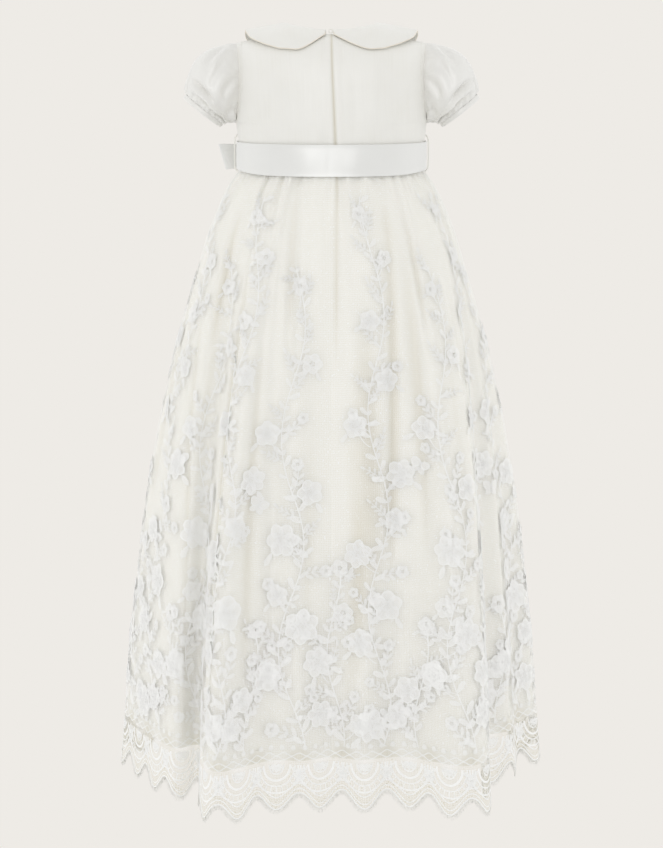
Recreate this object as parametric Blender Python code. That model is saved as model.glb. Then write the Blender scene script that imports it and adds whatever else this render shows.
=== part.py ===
"""A baby's christening gown in silk and floral lace, filled out as worn, with its back towards -Y."""

import math

import bmesh
import bpy
import numpy as np

# Metres, +Z up. The origin is on the shoulder line at the base of the neck, and +X is the
# right of someone who looks at the gown's back.
CLOTH = 0.0012
COLLAR_CLOTH = 0.0015
RIBBON = 0.0010
SEAM_GAP = 0.0003
HALF_GAP = SEAM_GAP / 2

# Torso: plan rings are superellipses, and a dome closes them over the shoulders.
WAIST_Z = -0.1240
UNDERARM_Z = -0.0830
TORSO_POWER = 2.2
SHOULDER_HALF = 0.0930
DOME_START = 0.35
DOME_POWER = 3.5
RIDGE_Z = 0.0040
RIDGE_SLOPE = 0.22
RIDGE_FLAT_HALF = 0.0430
TORSO_COLUMNS = ("z", "half_width", "half_depth")
TORSO_TABLE = (
    (-0.1240, 0.0892, 0.0655),
    (-0.1015, 0.0909, 0.0664),
    (-0.0820, SHOULDER_HALF, 0.0670),
    (0.0100, SHOULDER_HALF, 0.0670),
)

# Columns of the bodice's panels on each side, under the neck of the back and front and the shoulder
NECK_SPANS = {False: 6, True: 8}
SHOULDER_SPANS = 3
LOWER_ROWS = 4
UPPER_ROWS = 7

# Neck ring in plan, with its centre moved forward of the shoulder line
NECK_HALF_WIDTH = 0.0445
NECK_HALF_DEPTH = 0.0415
NECK_CENTRE_Y = 0.0085

# Armhole, an ellipse in side view
ARMHOLE_Z = -0.0450
ARMHOLE_HALF_HEIGHT = 0.0380
ARMHOLE_HALF_DEPTH = 0.0220

# Collar halves: width along the torso and lift off it, by angle round the neck from the centre back
COLLAR_COLUMNS = ("degrees", "width", "edge_lift", "roll_z")
COLLAR_TABLE = (
    (0, 0.0280, 0.0024, 0.0062),
    (20, 0.0310, 0.0025, 0.0070),
    (40, 0.0370, 0.0027, 0.0092),
    (70, 0.0385, 0.0050, 0.0120),
    (90, 0.0372, 0.0110, 0.0128),
    (115, 0.0375, 0.0090, 0.0105),
    (145, 0.0380, 0.0045, 0.0055),
    (180, 0.0380, 0.0026, 0.0004),
)
COLLAR_LEAST_WIDTH = 0.0065
COLLAR_ROLL_OUT = 0.0010
COLLAR_ENDS_LEFT = (7.0, 21.0)
COLLAR_ENDS_RIGHT = (2.5, 30.0)
COLLAR_FRONT_END = 177.0
COLLAR_FRONT_RAMP = 28.0
COLLAR_SPANS = 18
COLLAR_STAND_DOWN = 0.0006
COLLAR_STAND_BELOW_ROLL = 0.0024
COLLAR_FALL_SHARES = (0.35, 0.70, 1.0)
COLLAR_FALL_POWER = 0.8

# Puff sleeve: from the armhole to a narrow cuff that points down and outwards
CUFF_CENTRE_X = 0.1263
CUFF_CENTRE_Z = -0.0735
CUFF_RADIUS = 0.0228
CUFF_RADIUS_Y = 0.0235
CUFF_DOWN_DEGREES = 51.9
CUFF_WIDTH = 0.0045
PUFF = 1.32
SLEEVE_SPANS = 28
SLEEVE_ROWS = 7
SLEEVE_HEAD_GATHER = 0.0010
SLEEVE_CUFF_GATHER = 0.0012
HEAD_GATHER_END = 0.6
CUFF_GATHER_START = 0.4
SLEEVE_LEAVE = (1.12, 0.0, -0.20)
SLEEVE_LEAVE_ROUND = (0.0, 0.9, 0.15)
SLEEVE_ARRIVE_WIDE = 0.8

# Sash: a satin ribbon that is squeezed a little by the thread loop at each side
SASH_TOP_Z = -0.1013
SASH_BOTTOM_Z = -0.1314
SASH_SIDE_RISE = 0.0042
SASH_HALF_WIDTH = 0.0929
SASH_HALF_DEPTH = 0.0690
SASH_SPANS = 40
SASH_BULGE = 0.0002
SASH_SIDE_POWER = 6
THREAD = 0.0014
BELT_LOOP_ROUTE = (
    (0.0922, -0.0952), (0.0936, -0.0974), (0.0946, -0.1003), (0.0949, -0.1145),
    (0.0946, -0.1262), (0.0936, -0.1286), (0.0919, -0.1306),
)

# Bow on the sash at the front left
BOW_TURN = 217.0
KNOT_SIZE = (0.0080, 0.0046, 0.0105)
KNOT_POWER = 0.75
KNOT_STAND_OFF = KNOT_SIZE[1] + SEAM_GAP + 0.0003
LOOP_THICKNESS = 0.0080
LOOP_MOUTH = 0.0014
LOOP_HEIGHT_AT_KNOT = 0.0070
LOOP_HEIGHT = 0.0125
LOOP_SLANT = 0.0040
LOOP_STATIONS = np.linspace(0.035, 0.965, 15)
LOOP_DEPTH_AT_KNOT = 0.35
LOOP_HEIGHT_POWER = 0.6
# Columns: name, along_x, along_y, length, lean
LOOP_TABLE = (
    ("bow_loop_left", -0.892, -0.452, 0.0460, -0.05),
    ("bow_loop_right", 0.925, 0.380, 0.0520, -0.06),
)
# Columns: name, turn, length, stand_off
TAIL_TABLE = (
    ("bow_tail_left", 222.0, 0.112, 0.0048),
    ("bow_tail_right", 208.0, 0.098, 0.0066),
)
TAIL_WAVE = 0.0012
TAIL_SPANS = 8
TAIL_HALF_WIDTH_AT_KNOT = 0.0060
TAIL_HALF_WIDTH = 0.0135
TAIL_SLANT = 0.0080
TAIL_WAVES_A_METRE = 85
TAIL_WIDENING = 2.2
TAIL_START_DRIFT = 0.25
TAIL_DRIFT = 1.4

# Skirt: half-width of the silhouette and inset of the lining, by height
SKIRT_TOP_Z = WAIST_Z - SEAM_GAP
LACE_TIP_Z = -0.7370
LACE_VALLEY_Z = -0.7195
LINING_HEM_Z = -0.6880
SKIRT_COLUMNS = ("z", "half_width", "gather", "lining_inset")
SKIRT_TABLE = (
    (SKIRT_TOP_Z, 0.0890, 0.0005, 0.0021),
    (-0.1325, 0.0902, 0.0006, 0.0022),
    (-0.1410, 0.0975, 0.0014, 0.0032),
    (-0.1600, 0.1085, 0.0017, 0.0038),
    (-0.1900, 0.1222, 0.0016, 0.0040),
    (-0.2350, 0.1362, 0.0012, 0.0040),
    (-0.3000, 0.1552, 0.0008, 0.0042),
    (-0.3800, 0.1732, 0.0005, 0.0046),
    (-0.4700, 0.1880, 0.0000, 0.0050),
    (-0.6000, 0.2030, 0.0000, 0.0058),
    (LACE_TIP_Z, 0.2136, 0.0000, 0.0060),
)
WAIST_HALF_WIDTH = 0.0890
WAIST_HALF_DEPTH = 0.0653
HEM_HALF_WIDTH = 0.2080
HEM_HALF_DEPTH = 0.1350
FOLD_POWER = 1.8

# Folds at the hem, from the centre back towards +X and on round the front.
# Columns: x, y, waist_degrees
FOLD_TABLE = (
    (0.000, -0.128, 0),
    (0.030, -0.137, 9),
    (0.070, -0.128, 29),
    (0.125, -0.158, 45),
    (0.154, -0.135, 58),
    (0.150, -0.070, 75),
    (0.182, -0.045, 81),
    (0.190, -0.010, 87),
    (0.216, 0.020, 94),
    (0.188, 0.060, 106),
    (0.190, 0.105, 118),
    (0.145, 0.105, 130),
    (0.125, 0.160, 142),
    (0.080, 0.130, 155),
    (0.045, 0.155, 166),
    (0.010, 0.133, 177),
    (-0.030, 0.158, 188),
    (-0.070, 0.135, 200),
    (-0.110, 0.162, 213),
    (-0.135, 0.110, 228),
    (-0.180, 0.105, 242),
    (-0.180, 0.060, 254),
    (-0.217, 0.025, 266),
    (-0.198, -0.030, 284),
    (-0.158, -0.100, 303),
    (-0.133, -0.090, 316),
    (-0.127, -0.145, 322),
    (-0.108, -0.175, 330),
    (-0.060, -0.140, 340),
    (-0.028, -0.140, 350),
)
SCALLOPS = 32
SPANS_A_SCALLOP = 4
TIP_COLUMN = 1
LACE_SPANS = SCALLOPS * SPANS_A_SCALLOP
LINING_SPAN = 0.024
LINING_ROWS = (SKIRT_TOP_Z, -0.1325, -0.1410, -0.1700, -0.2350, -0.3400, -0.4700, -0.5900, LINING_HEM_Z)
LASH_LENGTH = 0.0048
FRINGE_BAND = 0.0010
FRINGE_HALF_DEPTH = 0.0005
FRINGE_DROP = SEAM_GAP + 0.0001
LASH_ROOT = (0.36, 0.64)

# Concealed zip behind the centre-back opening, and the thread eye at its top
ZIP_HALF_WIDTH = 0.0060
ZIP_THICKNESS = 0.0010
ZIP_TOP_ROW = 9
ZIP_LINING_ROWS = 5
EYE_RADIUS = 0.0018
EYE_THREAD = 0.0009
EYE_SIDE = 0.0008
EYE_BACK = 0.0004
EYE_UP = 0.0006
EYE_SIDES = 10

# Each finish is a colour and a roughness
BODICE_SILK = ((0.815, 0.800, 0.745), 0.55)
COLLAR_SILK = ((0.815, 0.800, 0.745), 0.50)
SLEEVE_SILK = ((0.815, 0.800, 0.745), 0.40)
LACE = ((0.850, 0.840, 0.795), 0.80)
LINING = ((0.780, 0.765, 0.710), 0.60)
SATIN = ((0.900, 0.895, 0.885), 0.30)
COTTON_THREAD = ((0.860, 0.855, 0.830), 0.70)


def make_material(name, finish):
    """Return a Principled material of one plain finish."""
    colour, roughness = finish
    material = bpy.data.materials.new(name)
    material.use_nodes = True
    shader = material.node_tree.nodes["Principled BSDF"]
    shader.inputs["Base Color"].default_value = (*colour, 1.0)
    shader.inputs["Roughness"].default_value = roughness
    shader.inputs["Metallic"].default_value = 0.0
    return material


def add_mesh(name, vertices, faces, finish):
    """Add one closed mesh object with its own material."""
    mesh = bpy.data.meshes.new(name)
    mesh.from_pydata([tuple(float(value) for value in vertex) for vertex in vertices], [], faces)
    body = bmesh.new()
    body.from_mesh(mesh)
    bmesh.ops.recalc_face_normals(body, faces=body.faces)
    body.to_mesh(mesh)
    body.free()
    mesh.shade_smooth()
    mesh.set_sharp_from_angle(angle=math.radians(50))
    mesh.materials.append(make_material(name + "_cloth", finish))
    piece = bpy.data.objects.new(name, mesh)
    bpy.context.scene.collection.objects.link(piece)
    return piece


def add_wall(name, outer, inner, finish, ring=False):
    """Close an outer and an inner grid of points into one wall. A ring joins its last column to its first."""
    rows, columns = outer.shape[:2]
    vertices = np.concatenate([outer.reshape(-1, 3), inner.reshape(-1, 3)])

    def index(row, column, face):
        return (face * rows + row) * columns + column % columns

    spans = columns if ring else columns - 1
    faces = []
    for row in range(rows - 1):
        for column in range(spans):
            for face in (0, 1):
                a = index(row, column, face)
                b = index(row, column + 1, face)
                c = index(row + 1, column + 1, face)
                d = index(row + 1, column, face)
                faces += [(a, b, c), (a, c, d)] if face == 0 else [(a, c, b), (a, d, c)]
    for row, turn in ((0, 1), (rows - 1, -1)):
        for column in range(spans):
            rim = (index(row, column, 1), index(row, column + 1, 1),
                   index(row, column + 1, 0), index(row, column, 0))
            faces.append(rim[::turn])
    if not ring:
        for column, turn in ((0, 1), (columns - 1, -1)):
            for row in range(rows - 1):
                rim = (index(row, column, 0), index(row + 1, column, 0),
                       index(row + 1, column, 1), index(row, column, 1))
                faces.append(rim[::turn])
    return add_mesh(name, vertices, faces, finish)


def unit(vectors):
    """Scale vectors to length one."""
    return vectors / np.linalg.norm(vectors, axis=-1, keepdims=True)


def grid_normals(points, core, ring=False):
    """Unit normals of a grid of rows x columns points, on the side away from its core."""
    if ring:
        along = np.roll(points, -1, axis=1) - np.roll(points, 1, axis=1)
    else:
        along = np.gradient(points, axis=1)
    normals = unit(np.cross(along, np.gradient(points, axis=0)))
    if np.sum(normals * (points - core)) < 0:
        normals = -normals
    return normals


def read_table(table, columns, name, at):
    """Read one named column of a table at any values of its first column."""
    rows = sorted(table)
    place = columns.index(name)
    return np.interp(at, [row[0] for row in rows], [row[place] for row in rows])


def superellipse(half_width, half_depth, angle):
    """Plan points of a ring, by angle from the centre back towards +X."""
    sine, cosine = np.sin(angle), np.cos(angle)
    x = half_width * np.sign(sine) * np.abs(sine) ** (2 / TORSO_POWER)
    y = -half_depth * np.sign(cosine) * np.abs(cosine) ** (2 / TORSO_POWER)
    return x, y


# Torso surface

def ridge(x):
    """Height of the shoulder line."""
    return RIDGE_Z - RIDGE_SLOPE * np.maximum(0.0, np.abs(x) - RIDGE_FLAT_HALF)


def plan_depth(x, z):
    """Half-depth of the torso's plan ring at x, before the dome."""
    half_width = read_table(TORSO_TABLE, TORSO_COLUMNS, "half_width", z)
    half_depth = read_table(TORSO_TABLE, TORSO_COLUMNS, "half_depth", z)
    inside = np.clip(1 - (np.abs(x) / half_width) ** TORSO_POWER, 0.0, 1.0)
    return half_depth * inside ** (1 / TORSO_POWER)


def torso_depth(x, z):
    """Distance of the torso's outer face from the plane y = 0."""
    height = (z - WAIST_Z) / (ridge(x) - WAIST_Z)
    over = np.clip((height - DOME_START) / (1 - DOME_START), 0.0, 1.0)
    return plan_depth(x, z) * (1 - over ** DOME_POWER) ** (1 / DOME_POWER)


def torso_top(x, y):
    """Height of the torso's outer face over a plan point."""
    fraction = np.clip(np.abs(y) / np.maximum(plan_depth(x, 0.0), 1e-6), 0.0, 1.0)
    height = DOME_START + (1 - DOME_START) * (1 - fraction ** DOME_POWER) ** (1 / DOME_POWER)
    return WAIST_Z + height * (ridge(x) - WAIST_Z)


def neck_point(angle):
    """Neckline point and its outward direction in plan, by angle from the centre back."""
    x = NECK_HALF_WIDTH * np.sin(angle)
    y = NECK_CENTRE_Y - NECK_HALF_DEPTH * np.cos(angle)
    outward = unit(np.stack([NECK_HALF_DEPTH * np.sin(angle), -NECK_HALF_WIDTH * np.cos(angle)], axis=-1))
    return x, y, outward


def armhole_point(turn):
    """Right armhole point on the torso's outer face. Turn runs from the top, over the back."""
    z = ARMHOLE_Z + ARMHOLE_HALF_HEIGHT * math.cos(turn)
    depth = ARMHOLE_HALF_DEPTH * abs(math.sin(turn))
    near, far = 0.5 * SHOULDER_HALF, float(read_table(TORSO_TABLE, TORSO_COLUMNS, "half_width", z))
    for _ in range(40):
        middle = 0.5 * (near + far)
        if torso_depth(middle, z) > depth:
            near = middle
        else:
            far = middle
    return np.array([near, -math.copysign(depth, math.sin(turn)), z])


def half_bodice(front):
    """Outer points and normals of the right half of the bodice's front or back."""
    side = 1 if front else -1
    shoulder_angle = math.acos(NECK_CENTRE_Y / NECK_HALF_DEPTH)
    neck_spans, shoulder_spans = NECK_SPANS[front], SHOULDER_SPANS
    start = math.pi if front else 0.0
    top_x, top_y, _ = neck_point(np.linspace(start, shoulder_angle, neck_spans + 1))
    shoulder_x = np.linspace(top_x[-1], SHOULDER_HALF, shoulder_spans + 1)[1:]
    top_x = np.concatenate([top_x, shoulder_x])
    top_y = np.concatenate([top_y, np.zeros(shoulder_spans)])
    top_y[neck_spans] = 0.0
    top_z = torso_top(top_x, top_y)
    spans = neck_spans + shoulder_spans
    across = np.sin(np.arange(spans + 1) / spans * math.pi / 2)
    rows = []
    for z in np.linspace(WAIST_Z, UNDERARM_Z, LOWER_ROWS):
        x = across * read_table(TORSO_TABLE, TORSO_COLUMNS, "half_width", z)
        rows.append(np.stack([x, side * torso_depth(x, z), np.full_like(x, z)], axis=1))
    for step in range(1, UPPER_ROWS + 1):
        rise = step / UPPER_ROWS
        edge = armhole_point(math.pi * (1 - rise))
        x = edge[0] * (across * (1 - rise) + top_x / SHOULDER_HALF * rise)
        lift = (1 - math.cos(math.pi * rise)) / 2
        z = UNDERARM_Z + (top_z - UNDERARM_Z) * lift
        y = side * torso_depth(x, z)
        y[-1] = side * abs(edge[1])
        rows.append(np.stack([x, y, z], axis=1))
    points = np.array(rows)
    points[-1, :, 1] = top_y

    core = np.zeros_like(points)
    core[:, :, 2] = np.minimum(points[:, :, 2], UNDERARM_Z)
    normals = grid_normals(points, core)
    normals[:, 0, 0] = 0.0
    normals[:LOWER_ROWS, -1, 1] = 0.0
    normals[-1] = (0.0, 0.0, 1.0)
    return points, unit(normals)


def mirrored(points):
    """Mirror points or normals across x = 0."""
    return points * np.array([-1.0, 1.0, 1.0])


def make_bodice():
    """Make the front and the two back halves, 0.3 mm apart at their seams."""
    points, normals = half_bodice(front=True)
    points[:LOWER_ROWS, -1, 1] += HALF_GAP
    points[-1, NECK_SPANS[True]:, 1] += HALF_GAP
    outer = np.concatenate([mirrored(points)[:, :0:-1], points], axis=1)
    outward = np.concatenate([mirrored(normals)[:, :0:-1], normals], axis=1)
    add_wall("bodice_front", outer, outer - CLOTH * outward, BODICE_SILK)

    points, normals = half_bodice(front=False)
    points[:LOWER_ROWS, -1, 1] -= HALF_GAP
    points[-1, NECK_SPANS[False]:, 1] -= HALF_GAP
    points[:, 0, 0] += HALF_GAP
    inner = points - CLOTH * normals
    add_wall("bodice_back_right", points, inner, BODICE_SILK)
    add_wall("bodice_back_left", mirrored(points), mirrored(inner), BODICE_SILK)


def off_the_torso(x, y, outward, length, lift):
    """Reach and height of points at a length along the torso from the neck, lifted off it."""
    reach = np.linspace(0.0, 0.08, 161)[:, None]
    height = torso_top(x + outward[:, 0] * reach, y + outward[:, 1] * reach)
    step, drop = reach[1, 0], np.diff(height, axis=0)
    run = np.concatenate([np.zeros((1, len(x))), np.cumsum(np.hypot(step, drop), axis=0)])
    slope = np.gradient(height, step, axis=0)
    reaches, heights = [], []
    for column in range(len(x)):
        at = length[column]
        here = np.interp(at, run[:, column], reach[:, 0])
        incline = math.atan(np.interp(at, run[:, column], slope[:, column]))
        reaches.append(here - lift[column] * math.sin(incline))
        heights.append(np.interp(at, run[:, column], height[:, column]) + lift[column] * math.cos(incline))
    return np.array(reaches), np.array(heights)


def collar_half(ends):
    """Outer and inner points of the right collar half, from its stand inside the neck to its edge."""
    first, back_ramp = ends
    degrees = np.linspace(first, COLLAR_FRONT_END, COLLAR_SPANS + 1)
    end_share = np.sin(np.radians(np.minimum(1.0, (degrees - first) / back_ramp) * 90))
    end_share *= np.sin(np.radians(np.minimum(1.0, (COLLAR_FRONT_END - degrees) / COLLAR_FRONT_RAMP) * 90))
    width = read_table(COLLAR_TABLE, COLLAR_COLUMNS, "width", degrees)
    width = COLLAR_LEAST_WIDTH + (width - COLLAR_LEAST_WIDTH) * end_share
    edge_lift = read_table(COLLAR_TABLE, COLLAR_COLUMNS, "edge_lift", degrees)
    roll_z = read_table(COLLAR_TABLE, COLLAR_COLUMNS, "roll_z", degrees)
    x, y, outward = neck_point(np.radians(degrees))
    neck_z = torso_top(x, y)

    def row(reach, z):
        return np.stack([x + outward[:, 0] * reach, y + outward[:, 1] * reach, z], axis=1)

    stand_in = -COLLAR_CLOTH - 2 * SEAM_GAP
    rows = [
        row(stand_in, neck_z - COLLAR_STAND_DOWN),
        row(stand_in, roll_z - COLLAR_STAND_BELOW_ROLL),
        row(COLLAR_ROLL_OUT, roll_z),
    ]
    roll_lift = roll_z - neck_z
    for share in COLLAR_FALL_SHARES:
        lift = roll_lift + (edge_lift - roll_lift) * share ** COLLAR_FALL_POWER
        reach, z = off_the_torso(x, y, outward, width * share, lift)
        rows.append(row(reach, z))
    outer = np.array(rows)
    core = np.stack([x + outward[:, 0] * 0.004, y + outward[:, 1] * 0.004, neck_z - 0.03], axis=1)
    return outer, outer - COLLAR_CLOTH * grid_normals(outer, core)


def make_collar():
    """Make the two collar halves, which part at the centre front and the centre back."""
    outer, inner = collar_half(COLLAR_ENDS_RIGHT)
    add_wall("collar_right", outer, inner, COLLAR_SILK)
    outer, inner = collar_half(COLLAR_ENDS_LEFT)
    add_wall("collar_left", mirrored(outer), mirrored(inner), COLLAR_SILK)


def cuff_ring(turns, radius_change, back_off):
    """Points round the right cuff, with their radial directions, set back along its axis."""
    down = math.radians(CUFF_DOWN_DEGREES)
    axis = np.array([math.cos(down), 0.0, -math.sin(down)])
    top = np.array([math.sin(down), 0.0, math.cos(down)])
    back = np.array([0.0, -1.0, 0.0])
    centre = np.array([CUFF_CENTRE_X, 0.0, CUFF_CENTRE_Z]) - axis * back_off
    cosine, sine = np.cos(turns)[:, None], np.sin(turns)[:, None]
    radial = unit(cosine * top + sine * back)
    ring = centre + cosine * top * (CUFF_RADIUS + radius_change)
    ring = ring + sine * back * (CUFF_RADIUS_Y + radius_change)
    return ring, radial, axis


def sleeve_points():
    """Outer points of the right puff sleeve, from the armhole to just above the cuff."""
    turns = np.arange(SLEEVE_SPANS) / SLEEVE_SPANS * 2 * math.pi
    start = np.array([armhole_point(turn) for turn in turns]) + (SEAM_GAP, 0.0, 0.0)
    end, radial, axis = cuff_ring(turns, 0.0, CUFF_WIDTH + SEAM_GAP)
    length = PUFF * np.linalg.norm(end - start, axis=1, keepdims=True)
    around = np.stack([np.zeros_like(turns), -np.sin(turns), np.cos(turns)], axis=1)
    leave = length * (np.array(SLEEVE_LEAVE) + around * SLEEVE_LEAVE_ROUND)
    arrive = length * unit(axis - SLEEVE_ARRIVE_WIDE * radial)
    zigzag = np.where(np.arange(SLEEVE_SPANS) % 2, 1.0, -1.0)[:, None]
    rows = []
    for share in np.linspace(0.0, 1.0, SLEEVE_ROWS):
        ease = share * share * (3 - 2 * share)
        row = start * (1 - ease) + end * ease
        row = row + leave * (share * (1 - share) ** 2) - arrive * (share ** 2 * (1 - share))
        head = SLEEVE_HEAD_GATHER * min(1.0, 0.4 + 3 * share) * max(0.0, 1 - share / HEAD_GATHER_END)
        cuff = SLEEVE_CUFF_GATHER * max(0.0, (share - CUFF_GATHER_START) / (1 - CUFF_GATHER_START))
        if share == 1.0:
            cuff *= 0.5
        rows.append(row + zigzag * (around * head + radial * cuff))
    return np.array(rows)


def make_sleeves():
    """Make both puff sleeves and their cuffs."""
    outer = sleeve_points()
    core = outer.mean(axis=1, keepdims=True)
    inner = outer - CLOTH * grid_normals(outer, core, ring=True)
    turns = np.arange(SLEEVE_SPANS) / SLEEVE_SPANS * 2 * math.pi
    bands = [cuff_ring(turns, 0.0, back_off)[0] for back_off in (CUFF_WIDTH, 0.0)]
    hollows = [cuff_ring(turns, -COLLAR_CLOTH, back_off)[0] for back_off in (CUFF_WIDTH, 0.0)]
    band, hollow = np.array(bands), np.array(hollows)
    add_wall("sleeve_right", outer, inner, SLEEVE_SILK, ring=True)
    add_wall("sleeve_left", mirrored(outer), mirrored(inner), SLEEVE_SILK, ring=True)
    add_wall("cuff_right", band, hollow, SLEEVE_SILK, ring=True)
    add_wall("cuff_left", mirrored(band), mirrored(hollow), SLEEVE_SILK, ring=True)


def make_sash():
    """Make the ribbon sash round the waist."""
    turns = np.arange(SASH_SPANS) / SASH_SPANS * 2 * math.pi
    side_share = np.abs(np.sin(turns)) ** SASH_SIDE_POWER
    outer, inner = [], []
    for share, proud in ((0.0, 0.0), (0.5, SASH_BULGE), (1.0, -SASH_BULGE)):
        z = SASH_TOP_Z + (SASH_BOTTOM_Z + SASH_SIDE_RISE * side_share - SASH_TOP_Z) * share
        x, y = superellipse(SASH_HALF_WIDTH + proud, SASH_HALF_DEPTH + proud, turns)
        outer.append(np.stack([x, y, z], axis=1))
        x, y = superellipse(SASH_HALF_WIDTH + proud - CLOTH, SASH_HALF_DEPTH + proud - CLOTH, turns)
        inner.append(np.stack([x, y, z], axis=1))
    add_wall("sash", np.array(outer), np.array(inner), SATIN, ring=True)


def add_thread(name, route, diameter, closed=False):
    """Add a round thread along a route, as a mesh."""
    curve = bpy.data.curves.new(name, "CURVE")
    curve.dimensions = "3D"
    curve.bevel_depth = diameter / 2
    curve.bevel_resolution = 1
    curve.use_fill_caps = not closed
    spline = curve.splines.new("POLY")
    spline.points.add(len(route) - 1)
    for point, place in zip(spline.points, route):
        point.co = (*place, 1.0)
    spline.use_cyclic_u = closed
    curve.materials.append(make_material(name + "_thread", COTTON_THREAD))
    piece = bpy.data.objects.new(name, curve)
    bpy.context.scene.collection.objects.link(piece)
    return piece


def make_belt_loops():
    """Make the thread loop that holds the sash at each side seam."""
    for side, name in ((1, "belt_loop_right"), (-1, "belt_loop_left")):
        add_thread(name, [(side * x, 0.0, z) for x, z in BELT_LOOP_ROUTE], THREAD)


# Skirt surface

def hem_curve():
    """Closed smooth curve through the hem's folds, the run to each of its points, and to each fold."""
    table = np.array(FOLD_TABLE)
    count = len(table)
    table = np.concatenate([table[-1:] - (0, 0, 360), table, table[:2] + (0, 0, 360)])
    steps = 24
    fine = []
    for row in range(1, count + 1):
        before, here, after, beyond = table[row - 1:row + 3]
        t = (np.arange(steps) / steps)[:, None]
        fine.append(0.5 * (2 * here + (after - before) * t
                           + (2 * before - 5 * here + 4 * after - beyond) * t ** 2
                           + (3 * here - before - 3 * after + beyond) * t ** 3))
    fine = np.concatenate(fine + [table[count + 1:count + 2]])
    run = np.concatenate([[0.0], np.cumsum(np.linalg.norm(np.diff(fine[:, :2], axis=0), axis=1))])
    return fine, run, run[::steps]


def hem_folds(share):
    """Hem place and waist angle at shares of the way round, which start at the centre back."""
    fine, run, _ = hem_curve()
    at = np.asarray(share) * run[-1]
    return [np.interp(at, run, fine[:, column]) for column in range(3)]


def seam_columns(shares):
    """Columns of the right and the left side seam."""
    degrees = hem_folds(shares)[2]
    return int(np.argmin(np.abs(degrees - 90))), int(np.argmin(np.abs(degrees - 270)))


def lace_shares():
    """Even shares of the way round the hem, for whole scallops."""
    return np.arange(LACE_SPANS) / LACE_SPANS


def lining_shares():
    """Shares of the way round at each fold and between, so that the lining keeps every fold."""
    _, run, folds = hem_curve()
    shares = []
    for here, after in zip(folds, folds[1:]):
        spans = max(2, round((after - here) / LINING_SPAN))
        shares += list(here + (after - here) * np.arange(spans) / spans)
    return np.array(shares) / run[-1]


def skirt_ring(share, z):
    """Smooth skirt points at a height, without the fine gathers."""
    hem_x, hem_y, degrees = hem_folds(share)
    angle = np.radians(degrees)
    half_width = read_table(SKIRT_TABLE, SKIRT_COLUMNS, "half_width", z)
    widest = SKIRT_TABLE[-1][1]
    grow = (half_width - WAIST_HALF_WIDTH) / (widest - WAIST_HALF_WIDTH)
    waist_x, waist_y = superellipse(WAIST_HALF_WIDTH, WAIST_HALF_DEPTH, angle)
    base_x, base_y = superellipse(HEM_HALF_WIDTH, HEM_HALF_DEPTH, angle)
    fold = grow ** FOLD_POWER
    x = waist_x * (1 - grow) + base_x * grow + (hem_x - base_x) * fold
    y = waist_y * (1 - grow) + base_y * grow + (hem_y - base_y) * fold
    return np.stack([x, y, np.zeros_like(x) + z], axis=-1)


def plan_normals(ring):
    """Outward horizontal normals of a closed ring that runs from the back towards +X."""
    along = np.roll(ring, -1, axis=0) - np.roll(ring, 1, axis=0)
    return unit(np.stack([along[:, 1], -along[:, 0], np.zeros(len(ring))], axis=1))


def lace_points(shares):
    """Outer points of the lace, with its gathers under the waist and its scalloped hem."""
    columns = np.arange(LACE_SPANS)
    zigzag = np.where(columns % 2, 1.0, -1.0)[:, None]
    phase = (columns + TIP_COLUMN) % SPANS_A_SCALLOP / SPANS_A_SCALLOP
    hem_z = LACE_TIP_Z + (LACE_VALLEY_Z - LACE_TIP_Z) * np.sin(math.pi * phase) ** 2
    rows = []
    for row in SKIRT_TABLE:
        z, gather = row[0], row[2]
        ring = skirt_ring(shares, z)
        ring = ring + plan_normals(ring) * zigzag * gather
        if z == LACE_TIP_Z:
            ring[:, 2] = hem_z
        rows.append(ring)
    return np.array(rows)


def lining_points(shares):
    """Outer points of the lining, which hangs inside the lace and ends above its hem."""
    rows = []
    for z in LINING_ROWS:
        ring = skirt_ring(shares, z)
        inset = read_table(SKIRT_TABLE, SKIRT_COLUMNS, "lining_inset", z)
        rows.append(ring - plan_normals(ring) * inset)
    return np.array(rows)


def sliced(grid, first, last):
    """Take the columns of a ring from first to last, and draw the two ends in by half a seam gap."""
    columns = grid.shape[1]
    part = grid[:, np.arange(first, last + 1) % columns].copy()
    part[:, 0] += unit(part[:, 1] - part[:, 0]) * HALF_GAP
    part[:, -1] += unit(part[:, -2] - part[:, -1]) * HALF_GAP
    return part


def panel_cuts(spans, right_column, left_column):
    """Name, first and last column of each skirt panel."""
    return (
        ("_back_right", 0, right_column),
        ("_front", right_column, left_column),
        ("_back_left", left_column, spans),
    )


def make_skirt_layer(name, outer, right_column, left_column, finish):
    """Cut a skirt ring at the side seams and the centre back, and make its three panels."""
    core = outer.mean(axis=1, keepdims=True)
    inner = outer - CLOTH * grid_normals(outer, core, ring=True)
    inner[0, :, 2] = outer[0, :, 2]
    for place, first, last in panel_cuts(outer.shape[1], right_column, left_column):
        add_wall(name + place, sliced(outer, first, last), sliced(inner, first, last), finish)
    return inner


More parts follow.
